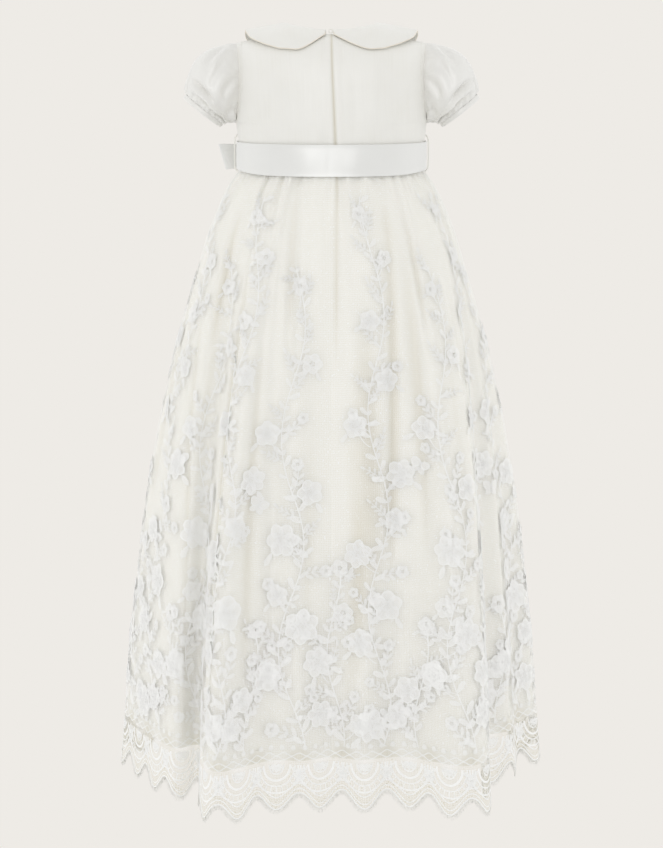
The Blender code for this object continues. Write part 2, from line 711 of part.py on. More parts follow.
def make_fringe(outer, inner, right_column, left_column):
    """Hang an eyelash fringe under the lace hem, with its roots in a narrow band."""
    middle = 0.5 * (outer[-1] + inner[-1])
    through = unit(outer[-1] - inner[-1]) * FRINGE_HALF_DEPTH
    for place, first, last in panel_cuts(LACE_SPANS, right_column, left_column):
        order = np.arange(first, last + 1) % LACE_SPANS
        line, depth = middle[order].copy(), through[order]
        line[0] += unit(line[1] - line[0]) * HALF_GAP
        line[-1] += unit(line[-2] - line[-1]) * HALF_GAP
        stations = [(column, share) for column in range(last - first) for share in (0.0, *LASH_ROOT)]
        stations.append((last - first - 1, 1.0))
        vertices = []
        for column, share in stations:
            point = line[column] * (1 - share) + line[column + 1] * share
            thick = depth[column] * (1 - share) + depth[column + 1] * share
            low = point - (0.0, 0.0, SEAM_GAP + FRINGE_BAND)
            vertices += [point - (0.0, 0.0, FRINGE_DROP), low + thick, low - thick]
        end = len(vertices) - 3
        faces = [(0, 1, 2), (end, end + 2, end + 1)]
        for a in range(0, end, 3):
            b = a + 3
            faces += [(a, b, b + 1, a + 1), (a, a + 2, b + 2, b)]
            root = (a + 1, b + 1, b + 2, a + 2)
            if stations[a // 3][1] != LASH_ROOT[0]:
                faces.append(root)
                continue
            faces += [(root[corner], root[(corner + 1) % 4], len(vertices)) for corner in range(4)]
            vertices.append(np.mean([vertices[corner] for corner in root], axis=0) - (0.0, 0.0, LASH_LENGTH))
        add_mesh("fringe" + place, vertices, faces, LACE)


def make_skirt():
    """Make the lining, the lace over it and the fringe on its hem."""
    shares = lace_shares()
    right_column, left_column = seam_columns(shares)
    outer = lace_points(shares)
    inner = make_skirt_layer("lace", outer, right_column, left_column, LACE)
    make_fringe(outer, inner, right_column, left_column)
    shares = lining_shares()
    lining = lining_points(shares)
    make_skirt_layer("lining", lining, *seam_columns(shares), LINING)
    return lining


def make_zip(lining):
    """Make the concealed zip's tape behind the centre-back opening, from the points that it lies on."""
    points, normals = half_bodice(front=False)
    inner = points - (CLOTH + SEAM_GAP) * normals
    lines = [(inner[row, 0], inner[row, 1]) for row in range(ZIP_TOP_ROW, 0, -1)]
    core = lining.mean(axis=1, keepdims=True)
    behind = lining - (CLOTH + SEAM_GAP) * grid_normals(lining, core, ring=True)
    for row in range(ZIP_LINING_ROWS):
        lines.append((behind[row, 0], behind[row, 1]))
    rows = []
    for middle, beside in lines:
        share = ZIP_HALF_WIDTH / (beside[0] - middle[0])
        edge = middle * (1 - share) + beside * share
        rows.append([edge * (-1, 1, 1), middle * (0, 1, 1), edge])
    outer = np.array(rows)
    add_wall("back_zip", outer, outer + (0.0, ZIP_THICKNESS, 0.0), LINING)


def make_neck_eye():
    """Make the small thread eye that closes the neck above the zip."""
    neck_y = NECK_CENTRE_Y - NECK_HALF_DEPTH
    centre_z = float(torso_top(0.0, neck_y)) + EYE_RADIUS + EYE_THREAD / 2 + EYE_UP
    route = []
    for step in range(EYE_SIDES):
        turn = step / EYE_SIDES * 2 * math.pi
        x = EYE_RADIUS * math.sin(turn) - EYE_SIDE
        route.append((x, neck_y - EYE_BACK, centre_z - EYE_RADIUS * math.cos(turn)))
    add_thread("neck_eye", route, EYE_THREAD, closed=True)


def make_knot(centre, along, out):
    """Make the bow's knot, a small round pillow."""
    up = np.array([0.0, 0.0, 1.0])
    vertices, faces = [], []
    rings, sides = 6, 12
    for ring in range(1, rings):
        lift = math.pi * ring / rings - math.pi / 2
        for side in range(sides):
            turn = 2 * math.pi * side / sides
            parts = (math.cos(lift) * math.cos(turn), math.cos(lift) * math.sin(turn), math.sin(lift))
            reach = np.copysign(np.abs(parts) ** KNOT_POWER, parts) * KNOT_SIZE
            vertices.append(centre + along * reach[0] + out * reach[1] + up * reach[2])
    vertices += [centre - up * KNOT_SIZE[2], centre + up * KNOT_SIZE[2]]
    for ring in range(rings - 2):
        for side in range(sides):
            a, b = ring * sides + side, ring * sides + (side + 1) % sides
            faces.append((a, b, b + sides, a + sides))
    top = (rings - 2) * sides
    for side in range(sides):
        faces.append((len(vertices) - 2, (side + 1) % sides, side))
        faces.append((len(vertices) - 1, top + side, top + (side + 1) % sides))
    add_mesh("bow_knot", vertices, faces, SATIN)


def make_bow_loops(centre, knot_out):
    """Make the bow's two loops, which leave the knot on both sides."""
    up = np.array([0.0, 0.0, 1.0])
    for name, along_x, along_y, length, lean in LOOP_TABLE:
        along = np.array([along_x, along_y, 0.0])
        out = np.array([-along_y, along_x, 0.0])
        out *= math.copysign(1.0, np.dot(out, knot_out))
        start = centre + along * (KNOT_SIZE[0] - 2 * SEAM_GAP)
        rows = []
        for share in LOOP_STATIONS:
            reach = length * (1 - math.cos(2 * math.pi * share)) / 2
            far = reach / length
            opened = LOOP_DEPTH_AT_KNOT + (1 - LOOP_DEPTH_AT_KNOT) * far
            depth = LOOP_THICKNESS * math.sin(2 * math.pi * share) * opened
            depth += LOOP_MOUTH * math.cos(math.pi * share)
            half = LOOP_HEIGHT_AT_KNOT + (LOOP_HEIGHT - LOOP_HEIGHT_AT_KNOT) * far ** LOOP_HEIGHT_POWER
            line = start + along * reach + out * depth + up * lean * reach
            rows.append([line + (up * half + along * LOOP_SLANT * far) * side for side in (-1.0, 0.0, 1.0)])
        outer = np.array(rows)
        core = start + along * length * 0.5 + up * lean * length * 0.5
        add_wall(name, outer, outer - RIBBON * grid_normals(outer, core), SATIN)


def make_bow():
    """Make the bow on the sash: a knot, two loops and two tails."""
    turn = math.radians(BOW_TURN)
    x, y = superellipse(SASH_HALF_WIDTH, SASH_HALF_DEPTH, turn)
    x_after, y_after = superellipse(SASH_HALF_WIDTH, SASH_HALF_DEPTH, turn - 0.05)
    knot_along = unit(np.array([x_after - x, y_after - y, 0.0]))
    knot_out = np.array([-knot_along[1], knot_along[0], 0.0])
    up = np.array([0.0, 0.0, 1.0])
    centre = np.array([x, y, (SASH_TOP_Z + SASH_BOTTOM_Z) / 2]) + knot_out * KNOT_STAND_OFF
    make_knot(centre, knot_along, knot_out)
    make_bow_loops(centre, knot_out)

    shares = np.linspace(0.45, 0.75, 601)
    for name, turn, length, stand_off in TAIL_TABLE:
        rows = []
        for share in np.linspace(0.0, 1.0, TAIL_SPANS + 1):
            z = centre[2] - KNOT_SIZE[2] - 2 * SEAM_GAP - length * share
            widening = min(1.0, share * TAIL_WIDENING)
            half = TAIL_HALF_WIDTH_AT_KNOT + (TAIL_HALF_WIDTH - TAIL_HALF_WIDTH_AT_KNOT) * widening
            ring = skirt_ring(shares, z)
            if z > SASH_BOTTOM_Z:
                sash_x, sash_y = superellipse(SASH_HALF_WIDTH, SASH_HALF_DEPTH, 2 * math.pi * shares)
                ring = np.stack([sash_x, sash_y, np.full_like(shares, z)], axis=1)
            normals = plan_normals(ring)
            run = np.cumsum(np.linalg.norm(np.roll(ring, -1, axis=0) - ring, axis=1))
            degrees = np.degrees(np.arctan2(ring[:, 0], -ring[:, 1])) % 360
            here = BOW_TURN + (turn - BOW_TURN) * min(1.0, TAIL_START_DRIFT + share * TAIL_DRIFT)
            middle = np.interp(here, degrees, run)
            off = stand_off + TAIL_WAVE * math.sin(length * share * TAIL_WAVES_A_METRE)
            row = []
            for side in (-1.0, 0.0, 1.0):
                at = middle + half * side
                spot = [np.interp(at, run, ring[:, axis] + normals[:, axis] * off) for axis in range(3)]
                drop = TAIL_SLANT * side * max(0.0, share * 5 - 4)
                row.append(np.array(spot) - up * drop)
            rows.append(row)
        outer = np.array(rows)
        core = np.array([0.0, 0.0, outer[:, :, 2].mean()])
        add_wall(name, outer, outer - RIBBON * grid_normals(outer, core), SATIN)


def main():
    """Clear the scene and make every piece of the gown."""
    for item in list(bpy.data.objects):
        bpy.data.objects.remove(item, do_unlink=True)
    make_bodice()
    make_collar()
    make_sleeves()
    make_sash()
    make_belt_loops()
    make_bow()
    lining = make_skirt()
    make_zip(lining)
    make_neck_eye()


main()
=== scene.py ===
"""The looks of a baby's christening gown in silk and floral lace, filled out, with its back to the camera."""

import math

import bpy
import numpy as np
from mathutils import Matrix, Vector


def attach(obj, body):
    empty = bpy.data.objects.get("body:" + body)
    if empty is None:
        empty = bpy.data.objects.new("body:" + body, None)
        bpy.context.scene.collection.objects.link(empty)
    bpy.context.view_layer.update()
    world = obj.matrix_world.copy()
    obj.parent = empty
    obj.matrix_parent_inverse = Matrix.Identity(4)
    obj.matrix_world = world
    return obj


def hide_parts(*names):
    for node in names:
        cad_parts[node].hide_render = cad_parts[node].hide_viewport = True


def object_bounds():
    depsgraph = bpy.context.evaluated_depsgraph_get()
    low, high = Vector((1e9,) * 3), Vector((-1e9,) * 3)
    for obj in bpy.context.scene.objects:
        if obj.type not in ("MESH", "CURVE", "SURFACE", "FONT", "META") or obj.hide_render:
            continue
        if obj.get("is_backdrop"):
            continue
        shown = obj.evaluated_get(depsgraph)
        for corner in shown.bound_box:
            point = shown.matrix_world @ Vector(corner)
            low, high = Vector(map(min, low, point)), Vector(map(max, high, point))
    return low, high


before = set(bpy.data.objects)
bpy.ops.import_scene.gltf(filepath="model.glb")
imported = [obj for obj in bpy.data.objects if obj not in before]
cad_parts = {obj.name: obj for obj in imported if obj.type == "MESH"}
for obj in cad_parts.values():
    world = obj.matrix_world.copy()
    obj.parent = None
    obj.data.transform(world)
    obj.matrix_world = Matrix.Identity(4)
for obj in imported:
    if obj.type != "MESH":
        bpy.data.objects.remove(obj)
CAD_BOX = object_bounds()

bl_info = {
    "name": "Christening gown looks",
    "version": (1, 0, 0),
    "blender": (4, 5, 0),
    "location": "3D View > Sidebar > Gown",
    "description": "Dresses the frame of a christening gown in silk, satin ribbon and floral lace",
    "category": "Object",
}

# Metres, +Z up. These are the frame's own sizes. The origin is on the shoulder line at the base
# of the neck, and +X is the right of someone who looks at the gown's back.
CLOTH = 0.0012
COLLAR_CLOTH = 0.0015
RIBBON = 0.0010
SEAM_GAP = 0.0003
HALF_GAP = SEAM_GAP / 2

WAIST_Z = -0.1240
UNDERARM_Z = -0.0830
TORSO_POWER = 2.2
SHOULDER_HALF = 0.0930
DOME_START = 0.35
DOME_POWER = 3.5
RIDGE_Z = 0.0040
RIDGE_SLOPE = 0.22
RIDGE_FLAT_HALF = 0.0430
TORSO_COLUMNS = ("z", "half_width", "half_depth")
TORSO_TABLE = (
    (-0.1240, 0.0892, 0.0655),
    (-0.1015, 0.0909, 0.0664),
    (-0.0820, SHOULDER_HALF, 0.0670),
    (0.0100, SHOULDER_HALF, 0.0670),
)
NECK_SPANS = {False: 6, True: 8}
SHOULDER_SPANS = 3
LOWER_SPANS = 3
UPPER_SPANS = 7
BODICE_FINE = 6

NECK_HALF_WIDTH = 0.0445
NECK_HALF_DEPTH = 0.0415
NECK_CENTRE_Y = 0.0085
ARMHOLE_Z = -0.0450
ARMHOLE_HALF_HEIGHT = 0.0380
ARMHOLE_HALF_DEPTH = 0.0220

COLLAR_COLUMNS = ("degrees", "width", "edge_lift", "roll_z")
COLLAR_TABLE = (
    (0, 0.0280, 0.0024, 0.0062),
    (20, 0.0310, 0.0025, 0.0070),
    (40, 0.0370, 0.0027, 0.0092),
    (70, 0.0385, 0.0050, 0.0120),
    (90, 0.0372, 0.0110, 0.0128),
    (115, 0.0375, 0.0090, 0.0105),
    (145, 0.0380, 0.0045, 0.0055),
    (180, 0.0380, 0.0026, 0.0004),
)
COLLAR_LEAST_WIDTH = 0.0065
COLLAR_ROLL_OUT = 0.0010
COLLAR_ENDS = {"left": (7.0, 21.0), "right": (2.5, 30.0)}
COLLAR_FRONT_END = 177.0
COLLAR_FRONT_RAMP = 28.0
COLLAR_SPANS = 90
COLLAR_FINE = 5

CUFF_CENTRE_X = 0.1263
CUFF_CENTRE_Z = -0.0735
CUFF_RADIUS = 0.0228
CUFF_RADIUS_Y = 0.0235
CUFF_DOWN_DEGREES = 51.9
CUFF_WIDTH = 0.0045
PUFF = 1.32
SLEEVE_SPANS = 168
SLEEVE_ROWS = 54
SLEEVE_ROUND = 0.210
SLEEVE_LENGTH = 0.075

SASH_TOP_Z = -0.1013
SASH_BOTTOM_Z = -0.1314
SASH_SIDE_RISE = 0.0042
SASH_HALF_WIDTH = 0.0929
SASH_HALF_DEPTH = 0.0690
SASH_SPANS = 320
SASH_ROWS = 15

BOW_TURN = 217.0
KNOT_SIZE = (0.0080, 0.0046, 0.0105)
KNOT_STAND_OFF = KNOT_SIZE[1] + SEAM_GAP + 0.0003
LOOP_THICKNESS = 0.0080
LOOP_MOUTH = 0.0014
LOOP_HEIGHT_AT_KNOT = 0.0070
LOOP_HEIGHT = 0.0125
LOOP_SLANT = 0.0040
LOOP_TABLE = (
    ("bow_loop_left", -0.892, -0.452, 0.0460, -0.05),
    ("bow_loop_right", 0.925, 0.380, 0.0520, -0.06),
)
TAIL_TABLE = (
    ("bow_tail_left", 222.0, 0.112, 0.0048),
    ("bow_tail_right", 208.0, 0.098, 0.0066),
)
TAIL_WAVE = 0.0012
TAIL_HALF_WIDTH_AT_KNOT = 0.0060
TAIL_HALF_WIDTH = 0.0135
TAIL_SLANT = 0.0080
LOOP_ROUTE = (
    (0.0922, -0.0952), (0.0936, -0.0974), (0.0946, -0.1003), (0.0949, -0.1145),
    (0.0946, -0.1262), (0.0936, -0.1286), (0.0919, -0.1306),
)

SKIRT_TOP_Z = WAIST_Z - SEAM_GAP
LACE_TIP_Z = -0.7370
LACE_VALLEY_Z = -0.7195
LINING_HEM_Z = -0.6880
SKIRT_COLUMNS = ("z", "half_width", "lining_inset")
SKIRT_TABLE = (
    (SKIRT_TOP_Z, 0.0890, 0.0021),
    (-0.1325, 0.0902, 0.0022),
    (-0.1410, 0.0975, 0.0032),
    (-0.1600, 0.1085, 0.0038),
    (-0.1900, 0.1222, 0.0040),
    (-0.2350, 0.1362, 0.0040),
    (-0.3000, 0.1552, 0.0042),
    (-0.3800, 0.1732, 0.0046),
    (-0.4700, 0.1880, 0.0050),
    (-0.6000, 0.2030, 0.0058),
    (LACE_TIP_Z, 0.2136, 0.0060),
)
WAIST_HALF_WIDTH = 0.0890
WAIST_HALF_DEPTH = 0.0653
HEM_HALF_WIDTH = 0.2080
HEM_HALF_DEPTH = 0.1350
FOLD_POWER = 1.8
# Each row: x, y and waist angle in degrees
FOLD_TABLE = (
    (0.000, -0.128, 0),
    (0.030, -0.137, 9),
    (0.070, -0.128, 29),
    (0.125, -0.158, 45),
    (0.154, -0.135, 58),
    (0.150, -0.070, 75),
    (0.182, -0.045, 81),
    (0.190, -0.010, 87),
    (0.216, 0.020, 94),
    (0.188, 0.060, 106),
    (0.190, 0.105, 118),
    (0.145, 0.105, 130),
    (0.125, 0.160, 142),
    (0.080, 0.130, 155),
    (0.045, 0.155, 166),
    (0.010, 0.133, 177),
    (-0.030, 0.158, 188),
    (-0.070, 0.135, 200),
    (-0.110, 0.162, 213),
    (-0.135, 0.110, 228),
    (-0.180, 0.105, 242),
    (-0.180, 0.060, 254),
    (-0.217, 0.025, 266),
    (-0.198, -0.030, 284),
    (-0.158, -0.100, 303),
    (-0.133, -0.090, 316),
    (-0.127, -0.145, 322),
    (-0.108, -0.175, 330),
    (-0.060, -0.140, 340),
    (-0.028, -0.140, 350),
)
SCALLOPS = 32
TIP_SHIFT = 0.25
LACE_COLUMNS = 1280
ROW_STEP = 0.004
ZIP_HALF_WIDTH = 0.0060
ZIP_END_Z = -0.232

# The lining lies nearer the lace than the frame's does, and takes most of its relief
LINING_INSET_SHARE = 0.48
LINING_RELIEF_SHARE = 0.88
LINING_COLUMNS = 320
LINING_ROWS = 90
TURNED_HEM = 0.014
NET_COLUMNS = 768
NET_ROWS = 124
LASH_COLUMNS = 1600
SKIRT_AREA_SHARE = 0.72
RIM_DEGREES = 50

# The closed opening at the centre back shows as a fine groove that fades out below the zip, between
# two lapped edges. Its line leans a little to the right on the way down.
BACK_SEAM_DEPTH = 0.0014
BACK_SEAM_HALF = 0.0010
OPENING_LEAN = 0.0040
OPENING_LEAN_REACH = 0.020
LAP_PLACE = 0.0045
LAP_HALF = 0.0030
LAP_HEIGHT = 0.0007
OPENING_DIP = 0.0008
OPENING_DIP_HALF = 0.0012
# Half-width of the painted shade along the closed opening: a warmer line in the bodice's colour
OPENING_SHADE_HALF = 0.0010

# Depth of trough at which painted shade starts to warm the skirt's colour, and how much deeper it is where
# that painted shade is warmest
FOLD_SHADE_START = 0.0014
FOLD_SHADE_RANGE = 0.0036

# Gathers: how many there are, how far they reach from their seam, and how high they stand
WAIST_GATHERS = (74, 0.090, 0.0048)
SKIRT_RIPPLES = (58, 0.460, 0.0016)
HEAD_GATHERS = (17, 0.028, 0.0034)
CUFF_GATHERS = (19, 0.030, 0.0034)

# Creases: start, end, half-width and height, where a trough has a height below zero. The bodice's and
# the sleeves' are raised by their gains.
BODICE_CREASE_GAIN = 1.7
SLEEVE_CREASE_GAIN = 1.5
BODICE_CREASES = {
    False: (
        (-0.024, -0.020, -0.026, -0.098, 0.0060, 0.0007),
        (-0.052, -0.035, -0.047, -0.104, 0.0075, -0.0008),
        (-0.078, -0.052, -0.070, -0.088, 0.0050, -0.0009),
        (-0.083, -0.080, -0.066, -0.100, 0.0040, -0.0007),
        (0.020, -0.030, 0.023, -0.104, 0.0070, -0.0006),
        (0.043, -0.022, 0.040, -0.082, 0.0055, 0.0006),
        (0.078, -0.048, 0.067, -0.090, 0.0050, -0.0009),
        (0.058, -0.080, 0.061, -0.106, 0.0040, -0.0006),
        (-0.010, -0.088, -0.011, -0.108, 0.0035, -0.0005),
    ),
    True: (
        (-0.030, -0.040, -0.034, -0.100, 0.0065, -0.0007),
        (0.012, -0.052, 0.008, -0.104, 0.0070, 0.0006),
        (0.038, -0.036, 0.043, -0.098, 0.0060, -0.0008),
        (-0.078, -0.050, -0.066, -0.092, 0.0050, -0.0009),
        (0.077, -0.050, 0.064, -0.094, 0.0050, -0.0009),
        (-0.055, -0.082, -0.052, -0.106, 0.0040, 0.0005),
    ),
}
SLEEVE_CREASES = (
    (0.006, 0.006, 0.026, 0.034, 0.0042, -0.0022),
    (0.014, 0.004, 0.036, 0.030, 0.0036, 0.0016),
    (0.030, 0.010, 0.046, 0.044, 0.0050, -0.0018),
    (0.048, 0.004, 0.060, 0.030, 0.0044, -0.0020),
    (0.076, 0.006, 0.078, 0.036, 0.0046, -0.0017),
    (0.016, 0.060, 0.056, 0.050, 0.0028, -0.0034),
    (0.030, 0.069, 0.078, 0.058, 0.0026, -0.0036),
    (0.022, 0.066, 0.070, 0.054, 0.0026, 0.0026),
    (0.050, 0.062, 0.088, 0.046, 0.0030, 0.0022),
    (0.060, 0.070, 0.096, 0.056, 0.0028, -0.0030),
    (0.008, 0.056, 0.012, 0.074, 0.0028, -0.0028),
    (0.098, 0.008, 0.096, 0.040, 0.0050, -0.0018),
    (0.122, 0.006, 0.118, 0.036, 0.0046, -0.0020),
    (0.150, 0.006, 0.142, 0.040, 0.0048, -0.0018),
    (0.176, 0.006, 0.166, 0.036, 0.0042, -0.0020),
    (0.196, 0.004, 0.190, 0.030, 0.0040, -0.0018),
    (0.112, 0.066, 0.140, 0.050, 0.0034, -0.0020),
    (0.150, 0.070, 0.182, 0.056, 0.0034, -0.0022),
    (0.186, 0.064, 0.204, 0.050, 0.0032, 0.0016),
)
SASH_CREASES = (
    (-0.0030, -0.102, -0.0030, -0.131, 0.0012, -0.0004),
    (-0.052, -0.103, -0.046, -0.130, 0.0100, -0.0007),
    (0.050, -0.104, 0.058, -0.130, 0.0090, -0.0006),
    (-0.020, -0.104, -0.026, -0.130, 0.0080, 0.0005),
    (0.026, -0.103, 0.022, -0.129, 0.0085, 0.0005),
)
# On the skirt each row starts with its waist angle and height, at both ends
SKIRT_CREASES = (
    (5, -0.250, 9, -0.640, 0.0110, -0.0034),
    (13, -0.190, 17, -0.560, 0.0085, -0.0036),
    (21, -0.180, 24, -0.430, 0.0070, 0.0030),
    (34, -0.170, 36, -0.520, 0.0080, -0.0036),
    (52, -0.200, 51, -0.680, 0.0090, -0.0022),
    (67, -0.170, 66, -0.400, 0.0065, 0.0016),
    (84, -0.220, 84, -0.640, 0.0080, -0.0018),
    (101, -0.170, 100, -0.500, 0.0080, -0.0034),
    (123, -0.180, 125, -0.600, 0.0085, -0.0034),
    (149, -0.200, 147, -0.640, 0.0100, -0.0040),
    (172, -0.180, 171, -0.500, 0.0080, 0.0030),
    (194, -0.190, 194, -0.620, 0.0095, -0.0040),
    (221, -0.200, 219, -0.560, 0.0085, -0.0034),
    (249, -0.170, 248, -0.600, 0.0085, -0.0034),
    (275, -0.180, 276, -0.520, 0.0085, -0.0034),
    (293, -0.220, 294, -0.640, 0.0085, 0.0018),
    (310, -0.170, 309, -0.480, 0.0075, -0.0026),
    (335, -0.240, 335, -0.660, 0.0090, -0.0036),
    (345, -0.190, 344, -0.620, 0.0095, 0.0034),
    (354, -0.300, 351, -0.680, 0.0080, -0.0022),
    (323, -0.165, 323, -0.700, 0.0042, -0.0066),
    (290, -0.160, 313, -0.690, 0.0050, -0.0034),
    (26, -0.155, 24, -0.520, 0.0040, -0.0064),
    (57, -0.190, 79, -0.700, 0.0050, -0.0032),
    (10, -0.430, 2, -0.680, 0.0100, -0.0024),
    (343, -0.150, 345, -0.330, 0.0035, -0.0044),
    (38, -0.150, 41, -0.300, 0.0035, -0.0040),
    (307, -0.150, 306, -0.300, 0.0035, -0.0040),
)

# Lace: a repeat of vines and blooms, charted once and set eight times round the skirt
REPEATS = 8
# Each vine: name, place across the repeat, low and high end, sway, phase and waves
VINE_TABLE = (
    ("tall", 0.27, -0.676, -0.150, 0.0120, 0.0, 5.5),
    ("middle", 0.77, -0.676, -0.215, 0.0140, 2.1, 4.5),
    ("low", 0.02, -0.676, -0.505, 0.0095, 1.0, 2.0),
    ("lowest", 0.52, -0.676, -0.560, 0.0095, 4.0, 1.5),
)
# Each bloom: its vine, how far along and beside it, radius and petals
BLOOM_TABLE = (
    ("tall", 0.03, -0.019, 0.0155, 6),
    ("tall", 0.10, 0.020, 0.0125, 5),
    ("tall", 0.17, -0.018, 0.0135, 6),
    ("tall", 0.25, 0.017, 0.0150, 5),
    ("tall", 0.35, -0.020, 0.0140, 6),
    ("tall", 0.40, 0.004, 0.0100, 5),
    ("tall", 0.48, 0.018, 0.0130, 6),
    ("tall", 0.58, -0.015, 0.0120, 5),
    ("tall", 0.67, 0.013, 0.0105, 5),
    ("tall", 0.77, -0.011, 0.0095, 5),
    ("tall", 0.87, 0.008, 0.0080, 5),
    ("tall", 0.96, -0.005, 0.0070, 5),
    ("middle", 0.05, 0.018, 0.0140, 6),
    ("middle", 0.13, -0.019, 0.0130, 5),
    ("middle", 0.23, 0.019, 0.0155, 6),
    ("middle", 0.30, -0.010, 0.0100, 5),
    ("middle", 0.41, -0.019, 0.0145, 6),
    ("middle", 0.52, 0.017, 0.0125, 5),
    ("middle", 0.65, -0.015, 0.0115, 5),
    ("middle", 0.80, 0.012, 0.0095, 5),
    ("middle", 0.95, -0.004, 0.0075, 5),
    ("low", 0.10, 0.015, 0.0115, 5),
    ("low", 0.42, -0.015, 0.0130, 6),
    ("low", 0.72, 0.012, 0.0100, 5),
    ("low", 0.98, 0.000, 0.0085, 5),
    ("lowest", 0.18, -0.015, 0.0120, 6),
    ("lowest", 0.60, 0.013, 0.0110, 5),
    ("lowest", 0.98, 0.000, 0.0080, 5),
)
LEAF_SPACING = 0.0105
SPRIG_SPACING = 0.021
BORDER_TOP_Z = -0.6850
BORDER_ARCS = ((0.0235, 0.0290, 0.0016), (0.0180, 0.0222, 0.0012), (0.0135, 0.0165, 0.0022),
               (0.0075, 0.0100, 0.0012))
BORDER_WORK = 0.04
HEM_BAND_WORK = 0.16

# Sections of the worked shapes, and how far their shading follows the net's instead of their own
PETAL_RINGS = ((1.0, 0.0), (0.86, 0.00036), (0.66, 0.00016))
PETAL_CENTRE_HEIGHT = 0.00018
CORD_SECTION = ((-0.5, 0.0), (0.0, 0.6), (0.5, 0.0))
NET_NORMAL_SHARE = 0.65

# Threads. A pair of strands has its offset and the length of one twist.
COLLAR_EDGE_RADIUS = 0.00055
BELT_STRANDS = (0.00036, 0.0021)
BELT_STRAND_RADIUS = 0.00042
EYE_RADIUS = 0.0018
EYE_STRANDS = (0.0002, 0.0014)
EYE_STRAND_RADIUS = 0.00028
LASHES = {"Root Radius": 0.00022, "Tip Radius": 0.00008, "Least Share": 0.55, "Sway": 0.16, "Sides": 3}
STITCHES = {"Root Radius": 0.00016, "Tip Radius": 0.00016, "Least Share": 0.9, "Sway": 0.05, "Sides": 6,
            "Seed": 3}
TEETH = {"Spacing": 0.0013, "Length": 0.0030, "Root Radius": 0.0004, "Tip Radius": 0.0004,
         "Least Share": 1.0, "Sway": 0.0, "Sides": 6, "Seed": 1}

# Scale at which a wave texture's bands would lie one metre apart
WAVE_SCALE = 0.31416

# The photograph's view
CAMERA_Y = -2.2
CAMERA_Z = 0.0116
CAMERA_PITCH_DEGREES = 10.15
CAMERA_LENS_MM = 94.9
FLOOR_Z = -1.3
STAGE_RADIUS = 9.0
# Floor and backdrop: reach and rise, as shares of the stage's radius
STAGE_PROFILE = ((0.001, 0.0), (0.5, 0.0), (0.72, 0.0), (0.85, 0.03), (0.94, 0.12), (1.0, 0.30), (1.0, 0.75))
SKY_STRENGTH = 0.83
# Each lamp: name, turn in degrees, strength, spread in degrees, and whether it lights more than gloss
LAMPS = (
    ("key", (64.0, 0.0, -38.0), 0.22, 40.0, True), ("fill", (75.0, 0.0, 60.0), 0.10, 60.0, True),
    ("left", (80.0, 0.0, -95.0), 0.32, 60.0, True), ("right", (80.0, 0.0, 95.0), 0.32, 60.0, True),
    ("front", (60.0, 0.0, 180.0), 0.18, 60.0, True), ("gloss", (80.0, 0.0, -6.0), 1.90, 38.0, False),
)


def linear(code):
    """Turn an sRGB hex colour into linear red, green and blue."""
    parts = [int(code[place:place + 2], 16) / 255 for place in (1, 3, 5)]
    return tuple(part / 12.92 if part <= 0.04045 else ((part + 0.055) / 1.055) ** 2.4 for part in parts)


def colour_setting(name, description, code):
    """A colour for the sidebar."""
    return bpy.props.FloatVectorProperty(name=name, description=description, subtype="COLOR",
                                         default=linear(code))


def size_setting(name, description, metres):
    """A length for the sidebar."""
    return bpy.props.FloatProperty(name=name, description=description, default=metres, unit="LENGTH")


class GownColours(bpy.types.PropertyGroup):
    """Colours of the gown's cloths."""

    silk: colour_setting("Silk", "Bodice and collar", "#F1F0EB")
    sleeve: colour_setting("Sleeve satin", "Puff sleeves and cuffs", "#EDECE8")
    ribbon: colour_setting("Ribbon", "Sash and bow", "#E9E9E6")
    lining: colour_setting("Lining", "Skirt lining", "#F4F2EA")
    lace: colour_setting("Lace", "Net, flowers and fringe", "#FEFEFC")
    thread: colour_setting("Thread", "Sewing, belt loops and eye", "#FBFAF5")
    # The collar edge's warm beige is painted shade along the collar's edge
    edge: colour_setting("Collar edge", "Turned edge of the collar", "#F0E9DB")
    backdrop: colour_setting("Backdrop", "Floor and backdrop", "#EEEBE6")


class GownSizes(bpy.types.PropertyGroup):
    """Sizes of the gown's sewing and lace."""

    net_cell: size_setting("Net cell", "Width of one opening of the net", 0.0017)
    lash_length: size_setting("Lash length", "Longest thread of the hem's fringe", 0.0056)
    lash_spacing: size_setting("Lash spacing", "From one fringe thread to the next", 0.00085)
    stitch_spacing: size_setting("Stitch spacing", "From one stitch to the next", 0.0026)
    lace_lift: size_setting("Lace lift", "How far the flowers lie off the net", 0.00014)


# Shapes of the frame, worked out more finely

def unit(vectors):
    """Scale vectors to length one."""
    return vectors / np.linalg.norm(vectors, axis=-1, keepdims=True)


def ease(share):
    """Smooth step from 0 to 1."""
    share = np.clip(share, 0.0, 1.0)
    return share * share * (3 - 2 * share)


def full_turn(count):
    """Even angles once round, in radians."""
    return np.arange(count) / count * 2 * math.pi


def hump(away, half):
    """Soft hump of height 1, by the distance from its middle and its half-width."""
    return np.exp(-(away / half) ** 2)


def read_table(table, columns, name, at):
    """Read one named column of a table at any values of its first column."""
    rows = sorted(table)
    place = columns.index(name)
    return np.interp(at, [row[0] for row in rows], [row[place] for row in rows])


def superellipse(half_width, half_depth, angle):
    """Plan points of a ring, by angle from the centre back towards +X."""
    sine, cosine = np.sin(angle), np.cos(angle)
    x = half_width * np.sign(sine) * np.abs(sine) ** (2 / TORSO_POWER)
    y = -half_depth * np.sign(cosine) * np.abs(cosine) ** (2 / TORSO_POWER)
    return x, y


def plan_normals(ring):
    """Outward horizontal normals of a closed ring that runs from the back towards +X."""
    along = np.roll(ring, -1, axis=0) - np.roll(ring, 1, axis=0)
    return unit(np.stack([along[:, 1], -along[:, 0], np.zeros(len(ring))], axis=1))


